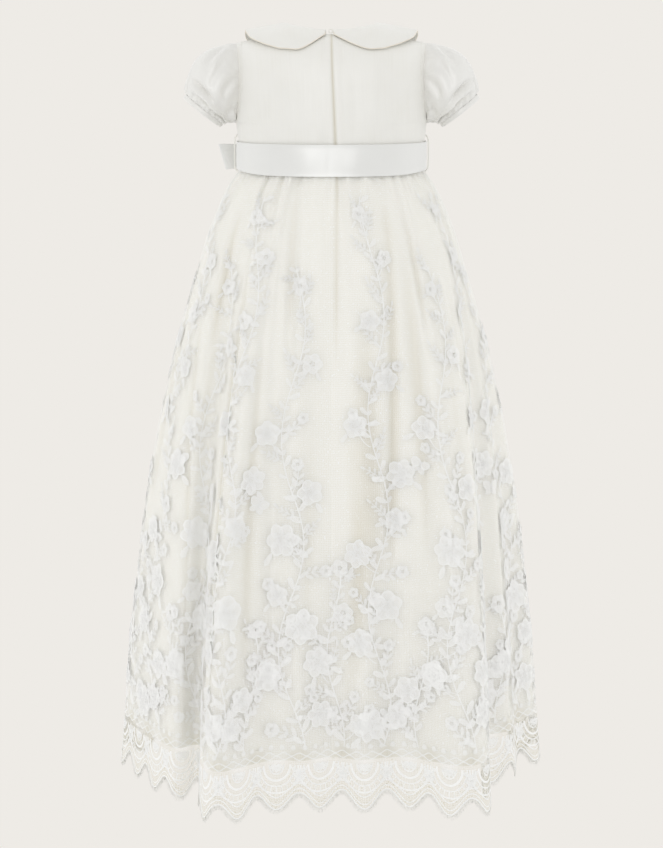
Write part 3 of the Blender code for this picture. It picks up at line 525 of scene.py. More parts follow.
def grid_normals(points, core, ring=False):
    """Unit normals of a grid of points, on the side away from its core."""
    if ring:
        along = np.roll(points, -1, axis=1) - np.roll(points, 1, axis=1)
    else:
        along = np.gradient(points, axis=1)
    normals = unit(np.cross(along, np.gradient(points, axis=0)) + 1e-15)
    return -normals if np.sum(normals * (points - core)) < 0 else normals


def smooth_rows(points, steps):
    """Put more rows between the rows of a grid, on a smooth curve through them."""
    padded = np.concatenate([2 * points[:1] - points[1:2], points, 2 * points[-1:] - points[-2:-1]])
    rows = []
    for row in range(len(points) - 1):
        before, here, after, beyond = padded[row:row + 4]
        for step in range(steps):
            t = step / steps
            rows.append(0.5 * (2 * here + (after - before) * t
                               + (2 * before - 5 * here + 4 * after - beyond) * t ** 2
                               + (3 * here - before - 3 * after + beyond) * t ** 3))
    return np.array(rows + [points[-1]])


def gather_relief(place, run, gathers, seed):
    """Height of uneven gathers, by place from 0 to 1 along the seam and by the run away from it."""
    count, reach, height = gathers
    chance = np.random.RandomState(seed)
    relief = np.zeros(np.broadcast(place, run).shape)
    for number in range(count):
        centre = (number + 0.5 + chance.uniform(-0.3, 0.3)) / count
        half = chance.uniform(0.26, 0.42) / count
        length = reach * chance.uniform(0.35, 1.5)
        tall = chance.uniform(0.45, 1.0)
        drift = chance.uniform(-0.4, 0.4) / count
        away = (place - centre - drift * run / length + 0.5) % 1 - 0.5
        spread = half * (1 + 1.2 * run / length)
        relief += tall * hump(away, spread) * (1 - ease(run / length))
    return height * (relief - 0.4 * (1 - ease(run / reach)))


def crease_relief(across, up, creases):
    """Height of the soft creases in a table, at places in metres on the cloth."""
    relief = np.zeros(np.broadcast(across, up).shape)
    for from_x, from_z, to_x, to_z, half_width, height in creases:
        run_x, run_z = to_x - from_x, to_z - from_z
        length = run_x * run_x + run_z * run_z
        share = ((across - from_x) * run_x + (up - from_z) * run_z) / length
        near = np.clip(share, 0.0, 1.0)
        away = np.hypot(across - from_x - run_x * near, up - from_z - run_z * near)
        fade = np.sin(math.pi * np.clip(share, 0.04, 0.96)) ** 0.7
        relief += height * fade * hump(away, half_width)
    return relief


def ridge(x):
    """Height of the shoulder line."""
    return RIDGE_Z - RIDGE_SLOPE * np.maximum(0.0, np.abs(x) - RIDGE_FLAT_HALF)


def plan_depth(x, z):
    """Half-depth of the torso's plan ring at x, before the dome."""
    half_width = read_table(TORSO_TABLE, TORSO_COLUMNS, "half_width", z)
    half_depth = read_table(TORSO_TABLE, TORSO_COLUMNS, "half_depth", z)
    inside = np.clip(1 - (np.abs(x) / half_width) ** TORSO_POWER, 0.0, 1.0)
    return half_depth * inside ** (1 / TORSO_POWER)


def torso_depth(x, z):
    """Distance of the torso's outer face from the plane y = 0."""
    height = (z - WAIST_Z) / (ridge(x) - WAIST_Z)
    over = np.clip((height - DOME_START) / (1 - DOME_START), 0.0, 1.0)
    return plan_depth(x, z) * (1 - over ** DOME_POWER) ** (1 / DOME_POWER)


def torso_top(x, y):
    """Height of the torso's outer face over a plan point."""
    fraction = np.clip(np.abs(y) / np.maximum(plan_depth(x, 0.0), 1e-6), 0.0, 1.0)
    height = DOME_START + (1 - DOME_START) * (1 - fraction ** DOME_POWER) ** (1 / DOME_POWER)
    return WAIST_Z + height * (ridge(x) - WAIST_Z)


def neck_point(angle):
    """Neckline point and its outward direction in plan, by angle from the centre back."""
    x = NECK_HALF_WIDTH * np.sin(angle)
    y = NECK_CENTRE_Y - NECK_HALF_DEPTH * np.cos(angle)
    outward = unit(np.stack([NECK_HALF_DEPTH * np.sin(angle), -NECK_HALF_WIDTH * np.cos(angle)], axis=-1))
    return x, y, outward


def armhole_points(turns):
    """Right armhole points on the torso's outer face. Turns run from the top, over the back."""
    z = ARMHOLE_Z + ARMHOLE_HALF_HEIGHT * np.cos(turns)
    depth = ARMHOLE_HALF_DEPTH * np.abs(np.sin(turns))
    near = np.full_like(z, 0.5 * SHOULDER_HALF)
    far = read_table(TORSO_TABLE, TORSO_COLUMNS, "half_width", z)
    for _ in range(40):
        middle = 0.5 * (near + far)
        deeper = torso_depth(middle, z) > depth
        near = np.where(deeper, middle, near)
        far = np.where(deeper, far, middle)
    return np.stack([near, -np.copysign(depth, np.sin(turns)), z], axis=-1)


def half_bodice(front):
    """Outer points and normals of the right half of the bodice's front or back."""
    side = 1 if front else -1
    shoulder_angle = math.acos(NECK_CENTRE_Y / NECK_HALF_DEPTH)
    neck_spans, shoulder_spans = NECK_SPANS[front] * BODICE_FINE, SHOULDER_SPANS * BODICE_FINE
    top_x, top_y, _ = neck_point(np.linspace(math.pi if front else 0.0, shoulder_angle, neck_spans + 1))
    top_x = np.concatenate([top_x, np.linspace(top_x[-1], SHOULDER_HALF, shoulder_spans + 1)[1:]])
    top_y = np.concatenate([top_y, np.zeros(shoulder_spans)])
    top_y[neck_spans] = 0.0
    top_z = torso_top(top_x, top_y)
    spans = neck_spans + shoulder_spans
    across = np.sin(np.arange(spans + 1) / spans * math.pi / 2)
    rows = []
    for z in np.linspace(WAIST_Z, UNDERARM_Z, LOWER_SPANS * BODICE_FINE + 1):
        x = across * read_table(TORSO_TABLE, TORSO_COLUMNS, "half_width", z)
        rows.append(np.stack([x, side * torso_depth(x, z), np.full_like(x, z)], axis=1))
    rises = np.arange(1, UPPER_SPANS * BODICE_FINE + 1) / (UPPER_SPANS * BODICE_FINE)
    for rise, edge in zip(rises, armhole_points(math.pi * (1 - rises))):
        x = edge[0] * (across * (1 - rise) + top_x / SHOULDER_HALF * rise)
        z = UNDERARM_Z + (top_z - UNDERARM_Z) * (1 - math.cos(math.pi * rise)) / 2
        y = side * torso_depth(x, z)
        y[-1] = side * abs(edge[1])
        rows.append(np.stack([x, y, z], axis=1))
    points = np.array(rows)
    points[-1, :, 1] = top_y
    core = np.zeros_like(points)
    core[:, :, 2] = np.minimum(points[:, :, 2], UNDERARM_Z)
    normals = grid_normals(points, core)
    normals[:, 0, 0] = 0.0
    normals[:LOWER_SPANS * BODICE_FINE + 1, -1, 1] = 0.0
    normals[-1] = (0.0, 0.0, 1.0)
    return points, unit(normals)


def mirrored(points):
    """Mirror points or normals across x = 0."""
    return points * np.array([-1.0, 1.0, 1.0])


def unmirrored(points):
    """Leave points on the gown's right."""
    return points


SIDES = (("right", unmirrored), ("left", mirrored))


def off_the_torso(x, y, outward, length, lift):
    """Reach and height of points at a length along the torso from the neck, lifted off it."""
    reach = np.linspace(0.0, 0.08, 161)[:, None]
    height = torso_top(x + outward[:, 0] * reach, y + outward[:, 1] * reach)
    step, drop = reach[1, 0], np.diff(height, axis=0)
    run = np.concatenate([np.zeros((1, len(x))), np.cumsum(np.hypot(step, drop), axis=0)])
    slope = np.gradient(height, step, axis=0)
    reaches, heights = [], []
    for column, at in enumerate(length):
        incline = math.atan(np.interp(at, run[:, column], slope[:, column]))
        here = np.interp(at, run[:, column], reach[:, 0])
        reaches.append(here - lift[column] * math.sin(incline))
        heights.append(np.interp(at, run[:, column], height[:, column]) + lift[column] * math.cos(incline))
    return np.array(reaches), np.array(heights)


def collar_half(ends):
    """Outer points of the right collar half, from its stand inside the neck to its edge, and its core."""
    first, back_ramp = ends
    degrees = np.linspace(first, COLLAR_FRONT_END, COLLAR_SPANS + 1)
    end_share = np.sin(np.radians(np.minimum(1.0, (degrees - first) / back_ramp) * 90))
    end_share *= np.sin(np.radians(np.minimum(1.0, (COLLAR_FRONT_END - degrees) / COLLAR_FRONT_RAMP) * 90))
    width = read_table(COLLAR_TABLE, COLLAR_COLUMNS, "width", degrees)
    width = COLLAR_LEAST_WIDTH + (width - COLLAR_LEAST_WIDTH) * end_share
    edge_lift = read_table(COLLAR_TABLE, COLLAR_COLUMNS, "edge_lift", degrees)
    roll_z = read_table(COLLAR_TABLE, COLLAR_COLUMNS, "roll_z", degrees)
    x, y, outward = neck_point(np.radians(degrees))
    neck_z = torso_top(x, y)

    def row(reach, z):
        return np.stack([x + outward[:, 0] * reach, y + outward[:, 1] * reach, z], axis=1)

    stand_in = -COLLAR_CLOTH - 2 * SEAM_GAP
    rows = [row(stand_in, neck_z - 0.0006), row(stand_in, roll_z - 0.0024), row(COLLAR_ROLL_OUT, roll_z)]
    roll_lift = roll_z - neck_z
    for share in (0.35, 0.70, 1.0):
        lift = roll_lift + (edge_lift - roll_lift) * share ** 0.8
        rows.append(row(*off_the_torso(x, y, outward, width * share, lift)))
    core = np.stack([x + outward[:, 0] * 0.004, y + outward[:, 1] * 0.004, neck_z - 0.03], axis=1)
    return smooth_rows(np.array(rows), COLLAR_FINE), core


def cuff_ring(turns, radius_change, back_off):
    """Points round the right cuff, with their radial directions and its axis, set back along it."""
    down = math.radians(CUFF_DOWN_DEGREES)
    axis = np.array([math.cos(down), 0.0, -math.sin(down)])
    top = np.array([math.sin(down), 0.0, math.cos(down)])
    back = np.array([0.0, -1.0, 0.0])
    centre = np.array([CUFF_CENTRE_X, 0.0, CUFF_CENTRE_Z]) - axis * back_off
    cosine, sine = np.cos(turns)[:, None], np.sin(turns)[:, None]
    radial = unit(cosine * top + sine * back)
    ring = centre + cosine * top * (CUFF_RADIUS + radius_change)
    return ring + sine * back * (CUFF_RADIUS_Y + radius_change), radial, axis


def sleeve_points():
    """Outer points of the right puff sleeve, from the armhole to just above the cuff."""
    turns = full_turn(SLEEVE_SPANS)
    start = armhole_points(turns)
    end, radial, axis = cuff_ring(turns, 0.0, CUFF_WIDTH + SEAM_GAP)
    length = PUFF * np.linalg.norm(end - start, axis=1, keepdims=True)
    around = np.stack([np.zeros_like(turns), -np.sin(turns), np.cos(turns)], axis=1)
    leave = length * (np.array([1.12, 0.0, -0.20]) + around * (0.0, 0.9, 0.15))
    arrive = length * unit(axis - 0.8 * radial)
    rows = []
    for share in np.linspace(0.0, 1.0, SLEEVE_ROWS + 1):
        row = start * (1 - ease(share)) + end * ease(share)
        rows.append(row + leave * (share * (1 - share) ** 2) - arrive * (share ** 2 * (1 - share)))
    points = np.array(rows)
    normals = grid_normals(points, points.mean(axis=1, keepdims=True), ring=True)
    place = (np.arange(SLEEVE_SPANS) / SLEEVE_SPANS)[None, :]
    run = np.linspace(0.0, SLEEVE_LENGTH, SLEEVE_ROWS + 1)[:, None]
    relief = gather_relief(place, run, HEAD_GATHERS, 3)
    relief = relief + gather_relief(place, SLEEVE_LENGTH - run, CUFF_GATHERS, 5)
    relief += SLEEVE_CREASE_GAIN * crease_relief(place * SLEEVE_ROUND, run, SLEEVE_CREASES)
    free = ease(run / 0.005) * (0.3 + 0.7 * ease((SLEEVE_LENGTH - run) / 0.003))
    return points + normals * (relief * free)[:, :, None]


def hem_curve():
    """Closed smooth curve through the hem's folds, as points with waist angles, and the run along it."""
    table = np.array(FOLD_TABLE)
    count = len(table)
    table = np.concatenate([table[-1:] - (0, 0, 360), table, table[:2] + (0, 0, 360)])
    steps = 24
    fine = smooth_rows(table, steps)[steps:(count + 1) * steps + 1]
    run = np.concatenate([[0.0], np.cumsum(np.linalg.norm(np.diff(fine[:, :2], axis=0), axis=1))])
    return fine, run


def skirt_ring(share, z):
    """Smooth skirt points at a height, without the gathers."""
    fine, run = HEM
    hem_x, hem_y, degrees = [np.interp(np.asarray(share) * run[-1], run, fine[:, axis]) for axis in range(3)]
    angle = np.radians(degrees)
    half_width = read_table(SKIRT_TABLE, SKIRT_COLUMNS, "half_width", z)
    grow = (half_width - WAIST_HALF_WIDTH) / (SKIRT_TABLE[-1][1] - WAIST_HALF_WIDTH)
    waist_x, waist_y = superellipse(WAIST_HALF_WIDTH, WAIST_HALF_DEPTH, angle)
    base_x, base_y = superellipse(HEM_HALF_WIDTH, HEM_HALF_DEPTH, angle)
    fold = np.maximum(grow, 0.0) ** FOLD_POWER
    x = waist_x * (1 - grow) + base_x * grow + (hem_x - base_x) * fold
    y = waist_y * (1 - grow) + base_y * grow + (hem_y - base_y) * fold
    return np.stack([x, y, np.zeros_like(x) + z], axis=-1)


def share_at(degrees):
    """Share of the way round the hem at a waist angle."""
    fine, run = HEM
    return np.interp(degrees, fine[:, 2], run) / run[-1]


HEM = hem_curve()
HEM_ROUND = HEM[1][-1]
SEAM_SHARES = {"back_right": (0.0, share_at(90)), "front": (share_at(90), share_at(270)),
               "back_left": (share_at(270), 1.0)}


def skirt_grids():
    """Points, outward directions, relief, stretch and fold of the skirt, each on one fine grid. Fold is the
    strength of painted shade in its deep troughs and along its back seam.
    """
    shares = np.arange(LACE_COLUMNS + 1) / LACE_COLUMNS
    heights = np.arange(SKIRT_TOP_Z, LACE_TIP_Z - 3 * ROW_STEP, -ROW_STEP)
    points, outward = [], []
    for z in heights:
        ring = skirt_ring(shares, z)
        side = plan_normals(ring[:-1])
        points.append(ring)
        outward.append(np.concatenate([side, side[:1]]))
    points, outward = np.array(points), np.array(outward)
    stretch = np.linalg.norm(np.gradient(points, 1 / LACE_COLUMNS, axis=1), axis=2)
    run = (SKIRT_TOP_Z - heights)[:, None]
    relief = gather_relief(shares[None, :], run, WAIST_GATHERS, 11)
    relief += gather_relief(shares[None, :], run, SKIRT_RIPPLES, 13)
    round_length = stretch.mean(axis=1, keepdims=True)
    for degrees, from_z, to_degrees, to_z, half_width, height in SKIRT_CREASES:
        share = np.clip((heights - from_z) / (to_z - from_z), 0.0, 1.0)[:, None]
        line = share_at(degrees + (to_degrees - degrees) * share)
        away = ((shares[None, :] - line + 0.5) % 1 - 0.5) * round_length
        relief += height * np.sin(math.pi * share) ** 0.8 * hump(away, half_width)
    relief *= ease(run / 0.006)
    away = ((shares[None, :] + 0.5) % 1 - 0.5) * stretch - OPENING_LEAN
    seam = hump(away, BACK_SEAM_HALF) * (1 - ease((run - 0.10) / 0.10))
    # Fold: painted shade, a warmer colour where the troughs are deep and along the groove of the back seam
    fold = np.maximum(np.clip((-relief - FOLD_SHADE_START) / FOLD_SHADE_RANGE, 0.0, 1.0), seam)
    relief -= BACK_SEAM_DEPTH * seam
    return {"points": points, "outward": outward, "relief": relief, "stretch": stretch, "fold": fold}


SKIRT = skirt_grids()


def read_grid(name, share, z):
    """Read one of the skirt's grids between its points."""
    grid = SKIRT[name]
    column = (np.asarray(share) % 1.0) * LACE_COLUMNS
    row = np.clip((SKIRT_TOP_Z - np.asarray(z)) / ROW_STEP, 0.0, len(grid) - 1.001)
    left, above = column.astype(int), row.astype(int)
    across, down = column - left, row - above
    if grid.ndim == 3:
        across, down = across[..., None], down[..., None]
    upper = grid[above, left] * (1 - across) + grid[above, left + 1] * across
    lower = grid[above + 1, left] * (1 - across) + grid[above + 1, left + 1] * across
    return upper * (1 - down) + lower * down


def on_skirt(share, z, lift=0.0, relief_share=1.0):
    """Points on the lace, or a distance off it. The lining takes only a share of its relief."""
    off = read_grid("relief", share, z) * relief_share + lift
    return read_grid("points", share, z) + read_grid("outward", share, z) * off[..., None]


def on_lining(share, z, lift=0.0):
    """Points on the lining, which lies close behind the lace and takes most of its relief."""
    inset = read_table(SKIRT_TABLE, SKIRT_COLUMNS, "lining_inset", z)
    return on_skirt(share, z, lift - inset * LINING_INSET_SHARE, LINING_RELIEF_SHARE)


def hem_z(share):
    """Height of the lace's scalloped hem."""
    phase = np.asarray(share) * SCALLOPS + TIP_SHIFT
    return LACE_TIP_Z + (LACE_VALLEY_Z - LACE_TIP_Z) * np.sin(math.pi * phase) ** 2


# Meshes

def flat_lengths(points, ring=False):
    """UV places in metres: the run along each row and up each column."""
    wide = np.concatenate([points, points[:, :1]], axis=1) if ring else points
    across = np.zeros(wide.shape[:2])
    across[:, 1:] = np.cumsum(np.linalg.norm(np.diff(wide, axis=1), axis=2), axis=1)
    up = np.zeros(wide.shape[:2])
    up[1:] = np.cumsum(np.linalg.norm(np.diff(wide, axis=0), axis=2), axis=0)
    return np.stack([across, up], axis=-1)


def add_piece(name, points, faces, places, material):
    """Add a mesh of points and faces, with a UV place for each corner."""
    mesh = bpy.data.meshes.new(name)
    mesh.from_pydata(np.asarray(points).reshape(-1, 3).tolist(), [], np.asarray(faces).tolist())
    uv_map = mesh.uv_layers.new(name="cloth")
    uv_map.data.foreach_set("uv", np.asarray(places, dtype=np.float32).ravel())
    mesh.shade_smooth()
    mesh.materials.append(material)
    piece = bpy.data.objects.new(name, mesh)
    bpy.context.scene.collection.objects.link(piece)
    return piece


def add_cloth(name, points, core, material, thickness=0.0, places=None, ring=False):
    """Add a grid of points as cloth whose outer face looks away from its core."""
    rows, columns = points.shape[:2]
    places = flat_lengths(points, ring) if places is None else places
    spans = columns if ring else columns - 1
    row, column = np.meshgrid(np.arange(rows - 1), np.arange(spans), indexing="ij")
    corners = [(row, column), (row, column + 1), (row + 1, column + 1), (row + 1, column)]
    faces = np.stack([r * columns + c % columns for r, c in corners], axis=-1).reshape(-1, 4)
    uvs = np.stack([places[r, c] for r, c in corners], axis=-2).reshape(-1, 4, 2)
    flat = points.reshape(-1, 3)
    a, b, d = flat[faces[:, 0]], flat[faces[:, 1]], flat[faces[:, 3]]
    away = (a - np.broadcast_to(core, points.shape).reshape(-1, 3)[faces[:, 0]])
    if np.sum(np.cross(b - a, d - a) * away) < 0:
        faces, uvs = faces[:, ::-1], uvs[:, ::-1]
    piece = add_piece(name, flat, faces, uvs, material)
    if thickness:
        solid = piece.modifiers.new("thickness", "SOLIDIFY")
        solid.thickness = thickness
        solid.offset = -1.0
        bpy.context.view_layer.update()
        wall = bpy.data.meshes.new_from_object(piece.evaluated_get(bpy.context.evaluated_depsgraph_get()))
        piece.modifiers.remove(solid)
        piece.data = wall
        wall.set_sharp_from_angle(angle=math.radians(RIM_DEGREES))
    return piece


def mark(piece, name, values):
    """Give the points of a cloth's grid values that its material reads, on both sides of thick cloth."""
    values = np.asarray(values, dtype=np.float32).ravel()
    attribute = piece.data.attributes.new(name, "FLOAT", "POINT")
    attribute.data.foreach_set("value", np.tile(values, len(piece.data.vertices) // len(values)))


def settle(piece, slot, *nodes):
    """Put a piece on the gown's one body and hide the frame's parts that it stands for."""
    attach(piece, "root")
    if nodes:
        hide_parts(*nodes)


def declare(points, fullness=1.0, ring=False, cut=None):
    """Work out a sheet of cloth's width, length and flat area from its grid, unless its cut is given; nothing
    is kept of them.
    """
    places = flat_lengths(points, ring)
    wide = np.concatenate([points, points[:, :1]], axis=1) if ring else points
    sides = np.cross(wide[:-1, 1:] - wide[:-1, :-1], wide[1:, :-1] - wide[:-1, :-1])
    area = np.linalg.norm(sides, axis=2).sum() * fullness
    width, length = places[:, -1, 0].max() * fullness, places[-1, :, 1].max()
    if cut:
        width, length, area = cut
    area = float(np.clip(area, 0.31 * width * length, width * length))


def add_thread(name, routes, radius, material, closed=False):
    """Add round threads along routes, as one mesh."""
    curve = bpy.data.curves.new(name, "CURVE")
    curve.dimensions = "3D"
    curve.bevel_depth = radius
    curve.bevel_resolution = 1
    curve.use_fill_caps = not closed
    for route in routes:
        spline = curve.splines.new("POLY")
        spline.points.add(len(route) - 1)
        for point, place in zip(spline.points, route):
            point.co = (*place, 1.0)
        spline.use_cyclic_u = closed
    maker = bpy.data.objects.new(name + "_route", curve)
    bpy.context.scene.collection.objects.link(maker)
    bpy.context.view_layer.update()
    mesh = bpy.data.meshes.new_from_object(maker.evaluated_get(bpy.context.evaluated_depsgraph_get()))
    bpy.data.objects.remove(maker, do_unlink=True)
    mesh.shade_smooth()
    mesh.materials.clear()
    mesh.materials.append(material)
    piece = bpy.data.objects.new(name, mesh)
    bpy.context.scene.collection.objects.link(piece)
    return piece


def twisted_pair(route, offset, pitch, closed=False):
    """Routes of two threads twisted round one another along a route."""
    route = np.asarray(route, dtype=float)
    loop = np.concatenate([route, route[:1]]) if closed else route
    run = np.concatenate([[0.0], np.cumsum(np.linalg.norm(np.diff(loop, axis=0), axis=1))])
    turns = max(1, round(run[-1] / pitch))
    at = np.linspace(0.0, run[-1], turns * 8 + 1)
    if closed:
        at = at[:-1]
    line = np.stack([np.interp(at, run, loop[:, axis]) for axis in range(3)], axis=1)
    along = unit(np.gradient(line, axis=0) + 1e-12)
    side = unit(np.cross(along, (0.0, 1.0, 0.0)) + 1e-12)
    up = np.cross(along, side)
    turn = (at / run[-1] * turns * 2 * math.pi)[:, None]
    wave = offset * (np.cos(turn) * side + np.sin(turn) * up)
    return [line + wave, line - wave]


# Geometry Nodes: one tree sets short threads along routes, for stitches, zip teeth and fringe

THREAD_INPUTS = (
    ("Spacing", "NodeSocketFloat"), ("Length", "NodeSocketFloat"), ("Root Radius", "NodeSocketFloat"),
    ("Tip Radius", "NodeSocketFloat"), ("Least Share", "NodeSocketFloat"), ("Sway", "NodeSocketFloat"),
    ("Sides", "NodeSocketInt"), ("Seed", "NodeSocketInt"), ("Thread", "NodeSocketMaterial"),
)


def add_node(tree, kind, settings=(), **values):
    """Add a node, set its properties, and give its inputs values or links by name or number."""
    node = tree.nodes.new(kind)
    for name, value in dict(settings).items():
        setattr(node, name, value)
    for name, value in values.items():
        key = int(name[1:]) if name[0] == "i" and name[1:].isdigit() else name.replace("_", " ")
        if isinstance(value, bpy.types.NodeSocket):
            tree.links.new(value, node.inputs[key])
        else:
            node.inputs[key].default_value = value
    return node


def thread_tree():
    """Build the tree that sets short tapered threads along edges, each along its point's lay."""
    tree = bpy.data.node_groups.new("short_threads", "GeometryNodeTree")
    tree.interface.new_socket("Geometry", in_out="INPUT", socket_type="NodeSocketGeometry")
    for name, kind in THREAD_INPUTS:
        tree.interface.new_socket(name, in_out="INPUT", socket_type=kind)
    tree.interface.new_socket("Geometry", in_out="OUTPUT", socket_type="NodeSocketGeometry")
    given = tree.nodes.new("NodeGroupInput").outputs
    curve = add_node(tree, "GeometryNodeMeshToCurve", Mesh=given["Geometry"])
    even = add_node(tree, "GeometryNodeResampleCurve", {"mode": "LENGTH"},
                    Curve=curve.outputs["Curve"], Length=given["Spacing"])
    lay = add_node(tree, "GeometryNodeInputNamedAttribute", {"data_type": "FLOAT_VECTOR"}, Name="lay")
    sway = add_node(tree, "FunctionNodeRandomValue", {"data_type": "FLOAT_VECTOR"},
                    i0=(-1.0, -1.0, -1.0), i1=(1.0, 1.0, 1.0), Seed=given["Seed"])
    swing = add_node(tree, "ShaderNodeVectorMath", {"operation": "SCALE"},
                     i0=sway.outputs[0], Scale=given["Sway"])
    direction = add_node(tree, "ShaderNodeVectorMath", {"operation": "ADD"},
                         i0=lay.outputs["Attribute"], i1=swing.outputs[0])
    turned = add_node(tree, "FunctionNodeAlignRotationToVector", {"axis": "Z"}, Vector=direction.outputs[0])
    size = add_node(tree, "FunctionNodeRandomValue", {"data_type": "FLOAT"},
                    i2=given["Least Share"], i3=1.0, Seed=given["Seed"])
    scale = add_node(tree, "ShaderNodeCombineXYZ", X=1.0, Y=1.0, Z=size.outputs[1])
    cone = add_node(tree, "GeometryNodeMeshCone", {"fill_type": "TRIANGLE_FAN"}, Vertices=given["Sides"],
                    Radius_Top=given["Tip Radius"], Radius_Bottom=given["Root Radius"], Depth=given["Length"])
    each = add_node(tree, "GeometryNodeInstanceOnPoints", Points=even.outputs["Curve"],
                    Instance=cone.outputs["Mesh"], Rotation=turned.outputs[0], Scale=scale.outputs[0])
    real = add_node(tree, "GeometryNodeRealizeInstances", Geometry=each.outputs["Instances"])
    finish = add_node(tree, "GeometryNodeSetMaterial", Geometry=real.outputs[0], Material=given["Thread"])
    output = tree.nodes.new("NodeGroupOutput")
    tree.links.new(finish.outputs[0], output.inputs[0])
    return tree


def add_short_threads(name, routes, lays, values, material):
    """Run the short-thread tree along routes, and keep its result as a plain mesh."""
    tree = bpy.data.node_groups.get("short_threads") or thread_tree()
    points = np.concatenate(routes)
    edges, first = [], 0
    for route in routes:
        edges += [(first + place, first + place + 1) for place in range(len(route) - 1)]
        first += len(route)
    mesh = bpy.data.meshes.new(name)
    mesh.from_pydata(points.tolist(), edges, [])
    lay = mesh.attributes.new("lay", "FLOAT_VECTOR", "POINT")
    lay.data.foreach_set("vector", np.concatenate(lays).astype(np.float32).ravel())
    piece = bpy.data.objects.new(name, mesh)
    bpy.context.scene.collection.objects.link(piece)
    modifier = piece.modifiers.new("threads", "NODES")
    modifier.node_group = tree
    given = {**values, "Thread": material}
    for item in tree.interface.items_tree:
        if item.in_out == "INPUT" and item.name in given:
            modifier[item.identifier] = given[item.name]
    bpy.context.view_layer.update()
    result = bpy.data.meshes.new_from_object(piece.evaluated_get(bpy.context.evaluated_depsgraph_get()))
    piece.modifiers.remove(modifier)
    piece.data = result
    if not len(result.polygons):
        raise RuntimeError(name + " has no threads")
    result.shade_smooth()
    return piece


# Materials, each named for its real cloth

def new_material(name, colour, roughness, specular=0.5, sheen=0.0):
    """Start a material with its plain values on the shader's own sockets."""
    material = bpy.data.materials.new(name)
    material.use_nodes = True
    tree = material.node_tree
    shader = tree.nodes["Principled BSDF"]
    shader.inputs["Base Color"].default_value = (*colour, 1.0)
    shader.inputs["Roughness"].default_value = roughness
    shader.inputs["Metallic"].default_value = 0.0
    shader.inputs["IOR"].default_value = 1.53
    shader.inputs["Specular IOR Level"].default_value = specular
    shader.inputs["Sheen Weight"].default_value = sheen
    shader.inputs["Sheen Roughness"].default_value = 0.4
    return material, tree, shader


def calculate(tree, operation, *inputs):
    """Add a maths node and give back its result."""
    values = {f"i{place}": value for place, value in enumerate(inputs)}
    return add_node(tree, "ShaderNodeMath", {"operation": operation}, **values).outputs[0]


def cloth_places(tree):
    """Places on the flat cloth, in metres."""
    return add_node(tree, "ShaderNodeUVMap", {"uv_map": "cloth"}).outputs["UV"]


def read_mark(tree, name):
    """Values that mark() gave the mesh."""
    return add_node(tree, "ShaderNodeAttribute", {"attribute_name": name}).outputs["Fac"]


def bands(tree, place, direction, scale, **values):
    """Even soft bands, for threads."""
    return add_node(tree, "ShaderNodeTexWave", {"bands_direction": direction}, Vector=place, Scale=scale,
                    **values).outputs[1]


def raise_threads(tree, shader, height, strength, distance):
    """Let a pattern's height shade the surface."""
    bump = add_node(tree, "ShaderNodeBump", Strength=strength, Distance=distance, Height=height)
    tree.links.new(bump.outputs[0], shader.inputs["Normal"])


def mix_colour(tree, shader, factor, first, second, blend="MIX"):
    """Give the base colour a mix of two colours."""
    mix = add_node(tree, "ShaderNodeMix", {"data_type": "RGBA", "blend_type": blend}, i0=factor, i6=first,
                   i7=second)
    tree.links.new(mix.outputs[2], shader.inputs["Base Color"])


def vary_colour(tree, shader, colour, factor, depth):
    """Let a pattern darken the base colour a little, warmer where it is deepest."""
    deep = (colour[0] * (1 - depth), colour[1] * (1 - 1.15 * depth), colour[2] * (1 - 1.6 * depth), 1.0)
    mix_colour(tree, shader, factor, (*colour, 1.0), deep)


def woven_cloth(name, colour, roughness, thread, slub, relief, sheen=0.0, rib=(1.0, 1.0)):
    """Weave a cloth: threads both ways at their spacing in metres, with long slubs along the warp."""
    material, tree, shader = new_material(name, colour, roughness, sheen=sheen)
    flat = cloth_places(tree)
    warp, weft = [bands(tree, flat, direction, WAVE_SCALE / thread * share, Distortion=0.6, Detail=1.0)
                  for direction, share in zip("XY", rib)]
    grain = add_node(tree, "ShaderNodeMapping", Vector=flat, Scale=(700.0, 22.0, 1.0)).outputs[0]
    slubs = add_node(tree, "ShaderNodeTexNoise", Vector=grain, Scale=1.0, Detail=3.0).outputs[0]
    cloud = add_node(tree, "ShaderNodeTexNoise", Vector=flat, Scale=28.0, Detail=2.0).outputs[0]
    threads = calculate(tree, "ADD", warp, weft)
    raise_threads(tree, shader, calculate(tree, "MULTIPLY_ADD", slubs, slub, threads), 0.6, relief)
    vary_colour(tree, shader, colour, calculate(tree, "MULTIPLY", slubs, cloud), 0.05 * min(slub, 2.0))
    return material


def paint_fold_shade(material, depth):
    """Paint shade into the colour: warmer where the mesh's fold value is high, in deep troughs and along the
    back opening.
    """
    tree = material.node_tree
    shader = tree.nodes["Principled BSDF"]
    plain = shader.inputs["Base Color"].links[0].from_socket
    warm = (1 - depth, 1 - 1.2 * depth, 1 - 1.7 * depth, 1.0)
    mix_colour(tree, shader, read_mark(tree, "fold"), plain, warm, "MULTIPLY")


def bodice_silk():
    """Silk dupion: a dry, slightly slubbed weave with a soft low sheen, with painted shade as a warmer line
    along the closed back opening.
    """
    material = woven_cloth("silk_dupion", COLOURS.silk, 0.52, 0.0008, 1.6, 0.00006, sheen=0.12)
    paint_fold_shade(material, 0.16)
    return material


def sleeve_silk():
    """Silk satin: smoother and brighter than the bodice, so that its folds catch the light."""
    return woven_cloth("silk_satin", COLOURS.sleeve, 0.46, 0.0006, 0.7, 0.00003, sheen=0.15)


def ribbon_satin():
    """Double-faced satin ribbon: long floats across give it the gown's cleanest and widest gloss."""
    return woven_cloth("ribbon_satin", COLOURS.ribbon, 0.34, 0.0007, 0.5, 0.00002, rib=(0.4, 1.2))


